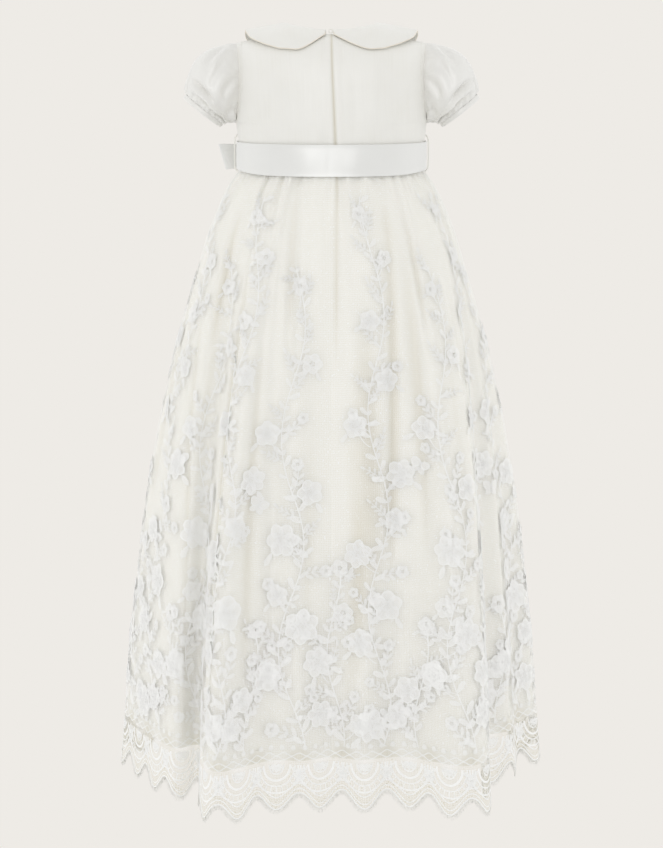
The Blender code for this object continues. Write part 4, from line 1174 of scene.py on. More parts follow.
def lining_taffeta():
    """Plain polyester taffeta: flat and even under the lace, with a dull sheen, and painted shade in its deep
    folds.
    """
    material = woven_cloth("lining_taffeta", COLOURS.lining, 0.50, 0.0007, 0.5, 0.00003)
    paint_fold_shade(material, 0.12)
    return material


def tape_twill():
    """Woven zip tape: a matt twill."""
    return woven_cloth("zip_tape_twill", COLOURS.lining, 0.70, 0.0008, 0.4, 0.00006)


def cotton_thread():
    """Mercerised cotton thread: fine twisted strands with a slight lustre."""
    material, tree, shader = new_material("cotton_thread", COLOURS.thread, 0.60, sheen=0.1)
    place = add_node(tree, "ShaderNodeTexCoord").outputs["Object"]
    strands = bands(tree, place, "DIAGONAL", WAVE_SCALE / 0.0005, Distortion=1.0)
    raise_threads(tree, shader, strands, 0.5, 0.00005)
    vary_colour(tree, shader, COLOURS.thread, strands, 0.05)
    return material


def collar_edge_shade():
    """Turned silk edge: a thin line of the same silk, in a warmer beige that is painted shade along the
    collar's edge.
    """
    return woven_cloth("collar_edge_shade_silk", COLOURS.edge, 0.60, 0.0008, 0.8, 0.00004)


def lace_cotton():
    """Corded lace thread: matt close-worked fill, with a faint twill of fine threads and small gaps."""
    material, tree, shader = new_material("lace_worked_thread", COLOURS.lace, 0.72, specular=0.35, sheen=0.2)
    threads = bands(tree, cloth_places(tree), "DIAGONAL", WAVE_SCALE / 0.0009, Distortion=1.5, Detail=2.0)
    raise_threads(tree, shader, threads, 0.4, 0.00006)
    vary_colour(tree, shader, COLOURS.lace, threads, 0.02)
    gaps = calculate(tree, "MULTIPLY", read_mark(tree, "open_work"), 0.18)
    tree.links.new(calculate(tree, "GREATER_THAN", threads, gaps), shader.inputs["Alpha"])
    return material


def lace_net():
    """Fine tulle net: thin threads round open cells, closer worked towards the scalloped hem, with painted
    shade where it is closer worked and in its deep folds.
    """
    material, tree, shader = new_material("tulle_net", COLOURS.lace, 0.75, specular=0.3, sheen=0.1)
    cells = add_node(tree, "ShaderNodeTexVoronoi", {"feature": "DISTANCE_TO_EDGE"},
                     Vector=cloth_places(tree), Scale=1 / SIZES.net_cell, Randomness=0.45).outputs[0]
    worked = read_mark(tree, "worked")
    reach = calculate(tree, "MULTIPLY_ADD", worked, 0.22, 0.085)
    tree.links.new(calculate(tree, "LESS_THAN", cells, reach), shader.inputs["Alpha"])
    # Painted shade: the net's colour is darker and warmer where it is closer worked, standing in for its
    # threads shading one another
    vary_colour(tree, shader, COLOURS.lace, calculate(tree, "MULTIPLY", worked, 20.0), 0.22)
    paint_fold_shade(material, 0.10)
    return material


MADE = {}


def get_material(make):
    """Make a material the first time it is asked for."""
    if make.__name__ not in MADE:
        MADE[make.__name__] = make()
    return MADE[make.__name__]


class GownOperator:
    """Runs an operator's own make()."""

    bl_options = {"REGISTER", "UNDO"}

    def execute(self, context):
        self.make()
        return {"FINISHED"}


class GOWN_OT_stage(GownOperator, bpy.types.Operator):
    """Set the camera, the soft light and the pale floor and backdrop"""

    bl_idname = "gown.stage"
    bl_label = "Stage, light and camera"

    def make(self):
        scene = bpy.context.scene
        camera = bpy.data.objects.new("camera", bpy.data.cameras.new("camera"))
        camera.location = (0.0, CAMERA_Y, CAMERA_Z)
        camera.rotation_euler = (math.radians(90 - CAMERA_PITCH_DEGREES), 0.0, 0.0)
        camera.data.lens = CAMERA_LENS_MM
        camera.data.sensor_width = 36.0
        scene.collection.objects.link(camera)
        scene.camera = camera
        scene.view_settings.view_transform = "Standard"
        self.add_stage()
        self.add_lights(scene)

    def add_stage(self):
        """Add a wide round floor that curves up into a backdrop on every side."""
        turns = full_turn(64)
        rows = []
        for reach, rise in STAGE_PROFILE:
            radius = reach * STAGE_RADIUS
            rows.append(np.stack([radius * np.cos(turns), radius * np.sin(turns),
                                  np.full_like(turns, FLOOR_Z + rise * STAGE_RADIUS)], axis=1))
        points = smooth_rows(np.array(rows), 4)
        outside = np.array([0.0, 0.0, 3 * STAGE_RADIUS])
        material, _, shader = new_material("backdrop_paper", COLOURS.backdrop, 0.9, specular=0.0)
        shader.inputs["Base Color"].default_value = (0.0, 0.0, 0.0, 1.0)
        shader.inputs["Emission Color"].default_value = (*COLOURS.backdrop, 1.0)
        shader.inputs["Emission Strength"].default_value = 1.0
        floor = add_cloth("backdrop", points, 2 * points - outside, material, ring=True)
        floor.visible_diffuse = False
        floor.visible_glossy = False
        floor.visible_shadow = False
        floor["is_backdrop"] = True

    def add_lights(self, scene):
        """Add an even sky and wide soft lamps round the gown, one of them for gloss alone."""
        world = bpy.data.worlds.new("soft_room")
        world.use_nodes = True
        sky = world.node_tree.nodes["Background"]
        sky.inputs["Color"].default_value = (1.0, 1.0, 1.0, 1.0)
        sky.inputs["Strength"].default_value = SKY_STRENGTH
        scene.world = world
        for name, degrees, strength, spread, diffuse in LAMPS:
            lamp = bpy.data.lights.new(name, "SUN")
            lamp.energy = strength
            lamp.angle = math.radians(spread)
            holder = bpy.data.objects.new(name, lamp)
            holder.rotation_euler = [math.radians(value) for value in degrees]
            holder.visible_diffuse = diffuse
            scene.collection.objects.link(holder)


class GOWN_OT_bodice(GownOperator, bpy.types.Operator):
    """Make the silk bodice front and the two halves of its back"""

    bl_idname = "gown.bodice"
    bl_label = "Bodice"

    def make(self):
        silk = get_material(bodice_silk)
        seam = LOWER_SPANS * BODICE_FINE + 1
        core = np.array([0.0, 0.0, -0.08])
        points, normals = half_bodice(True)
        points[:seam, -1, 1] += HALF_GAP
        points[-1, NECK_SPANS[True] * BODICE_FINE:, 1] += HALF_GAP
        outer = np.concatenate([mirrored(points)[:, :0:-1], points], axis=1)
        outward = np.concatenate([mirrored(normals)[:, :0:-1], normals], axis=1)
        outer = self.creased(outer, outward, True)
        piece = add_cloth("bodice_front_silk", outer, core, silk, CLOTH)
        settle(piece, "silk", "bodice_front")
        declare(outer)
        points, normals = half_bodice(False)
        points[:seam, -1, 1] -= HALF_GAP
        points[-1, NECK_SPANS[False] * BODICE_FINE:, 1] -= HALF_GAP
        for side, flip in SIDES:
            outer = self.creased(flip(points), flip(normals), False)
            near = hump(outer[:, :, 0], OPENING_LEAN_REACH)
            # Painted shade along the opening: a warmer line in the silk where the two halves meet
            painted_opening_shade = hump(np.abs(outer[:, :, 0]) - HALF_GAP, OPENING_SHADE_HALF)
            outer[:, :, 0] += OPENING_LEAN * near * ease((RIDGE_Z - outer[:, :, 2]) / (RIDGE_Z - WAIST_Z))
            piece = add_cloth(f"bodice_back_{side}_silk", outer, core, silk, CLOTH)
            mark(piece, "fold", painted_opening_shade)
            settle(piece, "silk", "bodice_back_" + side)
            declare(outer)

    def creased(self, outer, outward, front):
        """Raise the creases, and the lapped edges beside the closed zip."""
        x, z = outer[:, :, 0], outer[:, :, 2]
        relief = BODICE_CREASE_GAIN * crease_relief(x, z, BODICE_CREASES[front])
        if not front:
            relief += LAP_HEIGHT * hump(np.abs(x) - LAP_PLACE, LAP_HALF)
            relief -= OPENING_DIP * hump(x, OPENING_DIP_HALF)
        relief *= ease((z - WAIST_Z) / 0.010) * ease((RIDGE_Z - z) / 0.016)
        return outer + outward * relief[:, :, None]


class GOWN_OT_collar(GownOperator, bpy.types.Operator):
    """Make the two halves of the round collar and their turned edges, coloured beige as painted shade"""

    bl_idname = "gown.collar"
    bl_label = "Collar"

    def make(self):
        for side, flip in SIDES:
            points, core = collar_half(COLLAR_ENDS[side])
            points, core = flip(points), flip(core)
            piece = add_cloth(f"collar_{side}_silk", points, core, get_material(bodice_silk), COLLAR_CLOTH)
            settle(piece, "collar_silk", "collar_" + side)
            edge = points[-1] + (0.0, 0.0, -0.0006)
            line = np.concatenate([points[-6:-1, 0], edge, points[-6:-1, -1][::-1]])
            # The thin tube along the collar's edge is coloured beige as painted shade
            edge_shade_line = add_thread(f"collar_{side}_edge", [line], COLLAR_EDGE_RADIUS,
                                 get_material(collar_edge_shade))
            settle(edge_shade_line, "collar_silk")
            declare(points)


class GOWN_OT_sleeves(GownOperator, bpy.types.Operator):
    """Make the gathered puff sleeves and their narrow cuffs"""

    bl_idname = "gown.sleeves"
    bl_label = "Sleeves and cuffs"

    def make(self):
        satin = get_material(sleeve_silk)
        turns = full_turn(SLEEVE_SPANS)
        puff = sleeve_points()
        rows = []
        for share in np.linspace(0.0, 1.0, 7):
            swell = 0.0004 * math.sin(math.pi * share)
            rows.append(cuff_ring(turns, swell, CUFF_WIDTH * (1 - share))[0])
        band = np.array(rows)
        for side, flip in SIDES:
            points = flip(puff)
            cuff_points = flip(band)
            core = points.mean(axis=1, keepdims=True)
            piece = add_cloth(f"sleeve_{side}_satin", points, core, satin, CLOTH, ring=True)
            settle(piece, "sleeve_silk", "sleeve_" + side)
            core = cuff_points.mean(axis=1, keepdims=True)
            cuff = add_cloth(f"cuff_{side}_satin", cuff_points, core, satin, COLLAR_CLOTH, ring=True)
            settle(cuff, "sleeve_silk", "cuff_" + side)
            declare(points, 1.2, ring=True)


class GOWN_OT_sash(GownOperator, bpy.types.Operator):
    """Make the satin sash and the thread loops that hold it"""

    bl_idname = "gown.sash"
    bl_label = "Sash and belt loops"

    def make(self):
        turns = full_turn(SASH_SPANS)
        side_share = np.abs(np.sin(turns)) ** 6
        rows = []
        for share in np.linspace(0.0, 1.0, SASH_ROWS):
            z = SASH_TOP_Z + (SASH_BOTTOM_Z + SASH_SIDE_RISE * side_share - SASH_TOP_Z) * share
            selvedge = 0.0003 * (math.exp(-(share / 0.05) ** 2) + math.exp(-((1 - share) / 0.05) ** 2))
            proud = 0.0002 * math.sin(math.pi * share) + selvedge
            x, y = superellipse(SASH_HALF_WIDTH + proud, SASH_HALF_DEPTH + proud, turns)
            rows.append(np.stack([x, y, z], axis=1))
        points = np.array(rows)
        outward = grid_normals(points, (0.0, 0.0, -0.116), ring=True)
        relief = crease_relief(points[:, :, 0], points[:, :, 2], SASH_CREASES)
        points += outward * relief[:, :, None]
        sash = add_cloth("sash_ribbon", points, (0.0, 0.0, -0.116), get_material(ribbon_satin), 0.0009,
                         ring=True)
        settle(sash, "satin", "sash")
        for sign, name in ((1, "right"), (-1, "left")):
            route = smooth_rows(np.array([(sign * x, 0.0, z) for x, z in LOOP_ROUTE]), 5)
            loop = add_thread(f"belt_loop_{name}_thread", twisted_pair(route, *BELT_STRANDS),
                              BELT_STRAND_RADIUS, get_material(cotton_thread))
            settle(loop, "thread", "belt_loop_" + name)
        declare(points, ring=True)


class GOWN_OT_bow(GownOperator, bpy.types.Operator):
    """Make the bow: its knot, two loops and two tails"""

    bl_idname = "gown.bow"
    bl_label = "Bow"

    def make(self):
        turn = math.radians(BOW_TURN)
        x, y = superellipse(SASH_HALF_WIDTH, SASH_HALF_DEPTH, turn)
        x_after, y_after = superellipse(SASH_HALF_WIDTH, SASH_HALF_DEPTH, turn - 0.05)
        along = unit(np.array([x_after - x, y_after - y, 0.0]))
        out = np.array([-along[1], along[0], 0.0])
        centre = np.array([x, y, (SASH_TOP_Z + SASH_BOTTOM_Z) / 2]) + out * KNOT_STAND_OFF
        self.make_knot(centre, along, out)
        self.make_loops(centre, out)
        self.make_tails(centre)

    def make_knot(self, centre, along, out):
        """Wrap the knot in folds of ribbon that run up and down it."""
        lifts = (np.linspace(-0.5, 0.5, 33) * math.pi)[:, None]
        turns = full_turn(64)[None, :]
        parts = [np.cos(lifts) * np.cos(turns), np.cos(lifts) * np.sin(turns), np.sin(lifts) + 0 * turns]
        pleat = 1 + 0.05 * np.cos(lifts) * np.cos(turns * 7 + 0.6 * np.sin(lifts * 2)) - 0.03
        reach = [size * np.sign(part) * np.abs(part) ** 0.75 for size, part in zip(KNOT_SIZE, parts)]
        points = centre + reach[0][..., None] * along * pleat[..., None]
        points = points + reach[1][..., None] * out * pleat[..., None]
        points = points + reach[2][..., None] * np.array([0.0, 0.0, 1.0])
        knot = add_cloth("bow_knot_ribbon", points, centre, get_material(ribbon_satin), ring=True)
        settle(knot, "satin", "bow_knot")

    def make_loops(self, centre, knot_out):
        """Make the loops, pleated where the knot holds them."""
        up = np.array([0.0, 0.0, 1.0])
        for name, along_x, along_y, length, lean in LOOP_TABLE:
            along = np.array([along_x, along_y, 0.0])
            out = np.array([-along_y, along_x, 0.0])
            out *= math.copysign(1.0, np.dot(out, knot_out))
            start = centre + along * (KNOT_SIZE[0] - 2 * SEAM_GAP)
            rows = []
            for share in np.linspace(0.035, 0.965, 71):
                reach = length * (1 - math.cos(2 * math.pi * share)) / 2
                far = reach / length
                depth = LOOP_THICKNESS * math.sin(2 * math.pi * share) * (0.35 + 0.65 * far)
                depth += LOOP_MOUTH * math.cos(math.pi * share)
                half = LOOP_HEIGHT_AT_KNOT + (LOOP_HEIGHT - LOOP_HEIGHT_AT_KNOT) * far ** 0.6
                line = start + along * reach + out * depth + up * lean * reach
                face = math.copysign(1.0, math.cos(math.pi * share))
                row = []
                for side in np.linspace(-1.0, 1.0, 17):
                    pleat = 0.0006 * math.cos(side * 7.5 + far) * math.exp(-reach / 0.016) * face
                    dimple = -0.0010 * math.exp(-((side - 0.1) / 0.5) ** 2) * math.sin(math.pi * far) * face
                    row.append(line + (up * half + along * LOOP_SLANT * far) * side + out * (pleat + dimple))
                rows.append(row)
            points = np.array(rows)
            core = start + along * length * 0.5 + up * lean * length * 0.5
            loop = add_cloth(name + "_ribbon", points, core, get_material(ribbon_satin), RIBBON)
            settle(loop, "satin", name)
            declare(points)

    def make_tails(self, centre):
        """Hang the tails down the front of the skirt, with slanted ends."""
        shares = np.linspace(0.45, 0.75, 601)
        for name, turn, length, stand_off in TAIL_TABLE:
            rows = []
            for share in np.linspace(0.0, 1.0, 57):
                z = centre[2] - KNOT_SIZE[2] - 2 * SEAM_GAP - length * share
                widening = min(1.0, share * 2.2)
                half = TAIL_HALF_WIDTH_AT_KNOT + (TAIL_HALF_WIDTH - TAIL_HALF_WIDTH_AT_KNOT) * widening
                ring = skirt_ring(shares, z)
                if z > SASH_BOTTOM_Z:
                    sash_x, sash_y = superellipse(SASH_HALF_WIDTH, SASH_HALF_DEPTH, 2 * math.pi * shares)
                    ring = np.stack([sash_x, sash_y, np.full_like(shares, z)], axis=1)
                normals = plan_normals(ring)
                run = np.cumsum(np.linalg.norm(np.roll(ring, -1, axis=0) - ring, axis=1))
                degrees = np.degrees(np.arctan2(ring[:, 0], -ring[:, 1])) % 360
                here = BOW_TURN + (turn - BOW_TURN) * min(1.0, 0.25 + share * 1.4)
                middle = np.interp(here, degrees, run)
                side = np.linspace(-1.0, 1.0, 13)
                off = stand_off + TAIL_WAVE * math.sin(length * share * 85)
                off = off + 0.0008 * np.cos(side * 6.0) * math.exp(-share / 0.18)
                at = middle + half * side
                row = [np.interp(at, run, ring[:, axis]) + np.interp(at, run, normals[:, axis]) * off
                       for axis in range(3)]
                row[2] = row[2] - TAIL_SLANT * side * max(0.0, share * 5 - 4)
                rows.append(np.stack(row, axis=1))
            points = np.array(rows)
            core = np.array([0.0, 0.0, points[:, :, 2].mean()])
            tail = add_cloth(name + "_ribbon", points, core, get_material(ribbon_satin), RIBBON)
            settle(tail, "satin", name)
            declare(points)


def panel_shares(panel, columns):
    """Even shares across a skirt panel, from seam to seam, with so many columns all round."""
    first, last = SEAM_SHARES[panel]
    return np.linspace(first, last, round((last - first) * columns) + 1)


class GOWN_OT_lining(GownOperator, bpy.types.Operator):
    """Make the skirt lining in three panels"""

    bl_idname = "gown.lining"
    bl_label = "Skirt lining"

    def make(self):
        down = np.linspace(SKIRT_TOP_Z, LINING_HEM_Z, LINING_ROWS + 1)[:, None]
        turned_hem = 0.0005 * ease((LINING_HEM_Z + TURNED_HEM - down) / 0.0015)
        for panel in SEAM_SHARES:
            shares, heights = np.broadcast_arrays(panel_shares(panel, LINING_COLUMNS), down)
            points = on_lining(shares, heights, turned_hem)
            places = np.stack([shares * HEM_ROUND, heights], axis=-1)
            core = points.mean(axis=1, keepdims=True) * (0, 0, 1)
            piece = add_cloth(f"lining_{panel}_taffeta", points, core, get_material(lining_taffeta), CLOTH,
                              places)
            # Painted shade: the lining's colour is warmed where the skirt's troughs are deep
            mark(piece, "fold", read_grid("fold", shares, heights))
            settle(piece, "lining", "lining_" + panel)
            declare(points, cut=skirt_cut(points))


def skirt_cut(points):
    """Width, length and flat area of a skirt panel, cut narrower at its waist than at its hem."""
    places = flat_lengths(points)
    width, length = places[-1, -1, 0], places[-1, :, 1].max()
    return width, length, SKIRT_AREA_SHARE * width * length


class GOWN_OT_lace(GownOperator, bpy.types.Operator):
    """Make the lace: its net, flowers and border on three panels"""

    bl_idname = "gown.lace"
    bl_label = "Lace overskirt"

    def make(self):
        flowers = LaceWork()
        grow_vines(flowers)
        border = LaceWork()
        work_border(border)
        for panel in SEAM_SHARES:
            shares = panel_shares(panel, NET_COLUMNS)[None, :]
            down = np.linspace(0.0, 1.0, NET_ROWS + 1)[:, None]
            heights = SKIRT_TOP_Z + (hem_z(shares) - SKIRT_TOP_Z) * down
            shares = shares + 0 * down
            points = on_skirt(shares, heights)
            places = np.stack([shares * HEM_ROUND, heights], axis=-1)
            core = points.mean(axis=1, keepdims=True) * (0, 0, 1)
            net = add_cloth(f"lace_{panel}_net", points, core, get_material(lace_net), places=places)
            net.visible_shadow = False
            mark(net, "worked", worked_share(shares, heights))
            # Painted shade in the net's deep troughs
            mark(net, "fold", read_grid("fold", shares, heights))
            settle(net, "lace", "lace_" + panel)
            for work, name in ((flowers, "flowers"), (border, "border")):
                piece = work.piece(f"lace_{panel}_{name}", panel)
                piece.visible_shadow = False
                settle(piece, "lace")
            declare(points, cut=skirt_cut(points))


def worked_share(share, z):
    """How closely the net is worked: open on the skirt, closer in the border."""
    above_hem = z - hem_z(share)
    border = ease((0.052 - above_hem) / 0.016)
    band = hump(above_hem - 0.006, 0.004)
    return BORDER_WORK * border + HEM_BAND_WORK * band


class LaceWork:
    """Worked shapes, laid flat on the lace and then bent over its folds."""

    def __init__(self):
        self.shapes = []

    def add(self, shape, share, z, turn=0.0, size=1.0, lift=0.0):
        """Lay a shape of (across, up, height) points at a place on the lace."""
        points, faces, fill = shape
        cosine, sine = math.cos(turn), math.sin(turn)
        across = (points[:, 0] * cosine - points[:, 1] * sine) * size
        up = (points[:, 0] * sine + points[:, 1] * cosine) * size
        wide = float(read_grid("stretch", share, z))
        self.shapes.append((share + across / wide, z + up, points[:, 2] + lift, faces,
                            np.stack([across, up], axis=1), share, fill))

    def add_cord(self, shares, heights, width, height, lift=0.0):
        """Lay a raised cord along a route of shares and heights."""
        wide = read_grid("stretch", shares, heights)
        run = np.stack([np.gradient(shares) * wide, np.gradient(heights)], axis=1)
        run = unit(run + 1e-12)
        place, rise, lifts = [], [], []
        for side, tall in CORD_SECTION:
            place.append(shares - run[:, 1] * width * side / wide)
            rise.append(heights + run[:, 0] * width * side)
            lifts.append(np.full_like(shares, tall * height + lift))
        count, strips = len(shares), len(CORD_SECTION)
        index = np.arange(count * strips).reshape(strips, count)
        faces = np.stack([index[:-1, :-1], index[1:, :-1], index[1:, 1:], index[:-1, 1:]], axis=-1)
        flat = np.stack([np.concatenate(place) * HEM_ROUND, np.concatenate(rise)], axis=1)
        self.shapes.append((np.concatenate(place), np.concatenate(rise), np.concatenate(lifts),
                            faces.reshape(-1, 4), flat, float(np.mean(shares)),
                            np.zeros(count * strips)))

    def piece(self, name, panel):
        """Bend the shapes of one panel over the lace and make them one mesh."""
        first, last = SEAM_SHARES[panel]
        points, faces, places, fills, outward, count = [], [], [], [], [], 0
        for share, z, lift, shape_faces, flat, middle, fill in self.shapes:
            if not first <= middle % 1.0 < last:
                continue
            points.append(on_skirt(share, z, lift + SIZES.lace_lift))
            faces.append(np.asarray(shape_faces) + count)
            places.append(flat)
            fills.append(fill)
            outward.append(read_grid("outward", share, z))
            count += len(share)
        faces, outward = np.concatenate(faces), np.concatenate(outward)
        places = np.concatenate(places)
        mesh_points = np.concatenate(points)
        corners = mesh_points[faces]
        facing = np.cross(corners[:, 2] - corners[:, 0], corners[:, 3] - corners[:, 1])
        inward = (facing * outward[faces[:, 0]]).sum(axis=1) < 0
        faces[inward] = faces[inward][:, ::-1]
        piece = add_piece(name, mesh_points, faces, places[faces], get_material(lace_cotton))
        mark(piece, "open_work", np.concatenate(fills))
        own = np.empty(3 * count, dtype=np.float32)
        piece.data.vertex_normals.foreach_get("vector", own)
        soft = unit(NET_NORMAL_SHARE * outward + (1 - NET_NORMAL_SHARE) * own.reshape(-1, 3))
        piece.data.normals_split_custom_set_from_vertices(soft)
        return piece


def petal_shape(length, width, root=0.0, point=1.0, segments=8):
    """One worked petal or leaf: a raised corded edge round a lower fill, with its root at the origin."""
    angle = full_turn(segments)
    across = 0.5 * width * np.sin(angle) * (1 - 0.32 * np.cos(angle) * point)
    up = 0.5 * length * (1 - np.cos(angle))
    centre = np.array([0.0, 0.52 * length])
    points = []
    for scale, tall in PETAL_RINGS:
        for x, y in zip(across, up):
            points.append((x * scale, root + centre[1] + (y - centre[1]) * scale, tall))
    points.append((centre[0], root + centre[1], PETAL_CENTRE_HEIGHT))
    faces = []
    for ring in range(2):
        for corner in range(segments):
            after = (corner + 1) % segments
            faces.append((ring * segments + after, ring * segments + corner,
                          (ring + 1) * segments + corner, (ring + 1) * segments + after))
    for corner in range(0, segments, 2):
        after = (corner + 2) % segments
        faces.append((2 * segments + after, 2 * segments + corner + 1, 2 * segments + corner, 3 * segments))
    fill = np.repeat((0.0, 0.0, 1.0), segments)
    return np.array(points), faces, np.append(fill, 1.0)


def add_bloom(work, share, z, radius, petals, turn, lift=0.0):
    """Work one flower: outer petals, inner petals on the larger ones, and a raised eye."""
    petal = petal_shape(0.80 * radius, 1.35 * radius * math.sin(math.pi / petals) * 1.25, 0.20 * radius, -0.9)
    for number in range(petals):
        work.add(petal, share, z, turn + number * 2 * math.pi / petals, lift=lift + 0.0001 * (number % 2))
    if radius > 0.0105:
        inner = petal_shape(0.42 * radius, 0.40 * radius, 0.10 * radius, -0.6, 6)
        for number in range(petals):
            work.add(inner, share, z, turn + (number + 0.5) * 2 * math.pi / petals, lift=lift + 0.0004)
    eye = petal_shape(0.30 * radius, 0.30 * radius, -0.15 * radius, 0.0, 6)
    work.add(eye, share, z, turn, lift=lift + 0.0006)


def vine_route(vine, middle, chance):
    """Route of one vine up the skirt, as shares and heights."""
    _, across, low_z, high_z, sway, phase, waves = vine
    along = np.linspace(0.0, 1.0, 61)
    heights = low_z + (high_z - low_z) * along
    start = (middle + across) / REPEATS
    shift = chance.uniform(-0.5, 0.5)
    swing = sway * np.sin(phase + shift + waves * math.pi * along) * (1 - 0.35 * along)
    shares = start + swing / read_grid("stretch", np.full_like(along, start), heights)
    return along, shares, heights


def grow_vines(work):
    """Set the charted repeat of vines, blooms and leaves round the skirt."""
    chance = np.random.RandomState(29)
    leaf = petal_shape(0.0125, 0.0052, 0.0006, 0.8)
    bud = petal_shape(0.0070, 0.0042, 0.0, 0.2, 6)
    for repeat in range(REPEATS):
        for vine in VINE_TABLE:
            along, shares, heights = vine_route(vine, repeat, chance)
            work.add_cord(shares, heights, 0.0011, 0.0005)
            wide = read_grid("stretch", shares, heights)
            slope = np.arctan2(np.gradient(heights), np.gradient(shares) * wide)
            leaves = int((vine[3] - vine[2]) / LEAF_SPACING)
            for number in range(leaves):
                at = (number + 0.5) / leaves
                place = np.interp(at, along, shares)
                z = np.interp(at, along, heights)
                lean = np.interp(at, along, slope) - math.pi / 2
                side = 1 if number % 2 else -1
                turn = lean - side * math.radians(48 + chance.uniform(-14, 14))
                size = (1.12 - 0.42 * at) * chance.uniform(0.8, 1.15)
                work.add(leaf, place, z, turn, size, lift=0.0001)
                if number % 4 == 2:
                    work.add(bud, place, z, lean + side * math.radians(36), size)
            sprigs = int((vine[3] - vine[2]) / SPRIG_SPACING)
            for number in range(sprigs):
                at = (number + 0.5 + chance.uniform(-0.3, 0.3)) / sprigs
                side = -1 if number % 2 else 1
                lean = np.interp(at, along, slope) - math.pi / 2 + side * chance.uniform(0.5, 1.1)
                grow_sprig(work, chance, np.interp(at, along, shares), np.interp(at, along, heights), lean,
                           side, (1.15 - 0.45 * at) * chance.uniform(0.8, 1.2))
            for name, at, beside, radius, petals in BLOOM_TABLE:
                if name == vine[0]:
                    grow_bloom(work, chance, (along, shares, heights, wide), (at, beside, radius, petals))
    add_wings(work, chance)


def grow_sprig(work, chance, share, z, lean, side, size):
    """Grow a curved sprig of small leaves from a vine, with a floret at the end of the larger ones."""
    steps = 8
    length = 0.026 * size
    angles = lean + side * chance.uniform(-0.9, 0.5) * np.linspace(0.0, 1.0, steps + 1)
    across = -np.concatenate([[0.0], np.cumsum(np.sin(angles[:-1]))]) * length / steps
    up = np.concatenate([[0.0], np.cumsum(np.cos(angles[:-1]))]) * length / steps
    wide = float(read_grid("stretch", share, z))
    shares, heights = share + across / wide, z + up
    work.add_cord(shares, heights, 0.0008, 0.0004)
    leaf = petal_shape(0.0082, 0.0034, 0.0004, 0.7, 6)
    for step in range(2, steps, 2):
        for hand in (-1, 1):
            turn = angles[step] + hand * chance.uniform(0.55, 0.85)
            work.add(leaf, shares[step], heights[step], turn, size * (1.15 - 0.06 * step), lift=0.0001)
    if size > 0.9:
        add_bloom(work, shares[-1], heights[-1], 0.0058 * size, 5, chance.uniform(0.0, 2.0), lift=0.0001)
    else:
        work.add(leaf, shares[-1], heights[-1], angles[-1], size)


def grow_bloom(work, chance, route, bloom):
    """Set one bloom beside its vine, on a short curved stalk with two small leaves."""
    along, shares, heights, wide = route
    at, beside, radius, petals = bloom
    at = min(0.99, at + chance.uniform(-0.012, 0.012))
    place, z = np.interp(at, along, shares), np.interp(at, along, heights)
    across = beside + chance.uniform(-0.003, 0.003)
    rise = radius * 0.4 + chance.uniform(0.0, 0.006)
    radius *= chance.uniform(1.0, 1.2)
    metric = np.interp(at, along, wide)
    t = np.linspace(0.0, 1.0, 9)
    stalk_shares = place + across / metric * t
    stalk_heights = z - 0.010 + (rise + 0.010) * t ** 1.6
    work.add_cord(stalk_shares, stalk_heights, 0.0009, 0.0004)
    centre = place + across / metric
    add_bloom(work, centre, z + rise, radius, petals, chance.uniform(0.0, 2 * math.pi), lift=0.0002)
    leaf = petal_shape(radius * 0.9, radius * 0.38, radius * 0.9, 0.6, 6)
    for side in (-1, 1):
        turn = side * math.radians(chance.uniform(95, 150)) + math.copysign(0.4, -beside)
        work.add(leaf, centre, z + rise, turn)


def add_wings(work, chance):
    """Set a small butterfly of four wings in the open net of each repeat."""
    wing = petal_shape(0.0095, 0.0075, 0.0008, -0.8)
    for repeat in range(REPEATS):
        share = (repeat + 0.52 + chance.uniform(-0.02, 0.02)) / REPEATS
        z = -0.405 - 0.035 * (repeat % 3)
        tilt = chance.uniform(-0.5, 0.5)
        for degrees, size in ((52, 1.15), (-52, 1.15), (128, 0.8), (-128, 0.8)):
            work.add(wing, share, z, tilt + math.radians(degrees), size)
        work.add(petal_shape(0.010, 0.0018, -0.004, 0.0, 6), share, z, tilt, lift=0.0003)


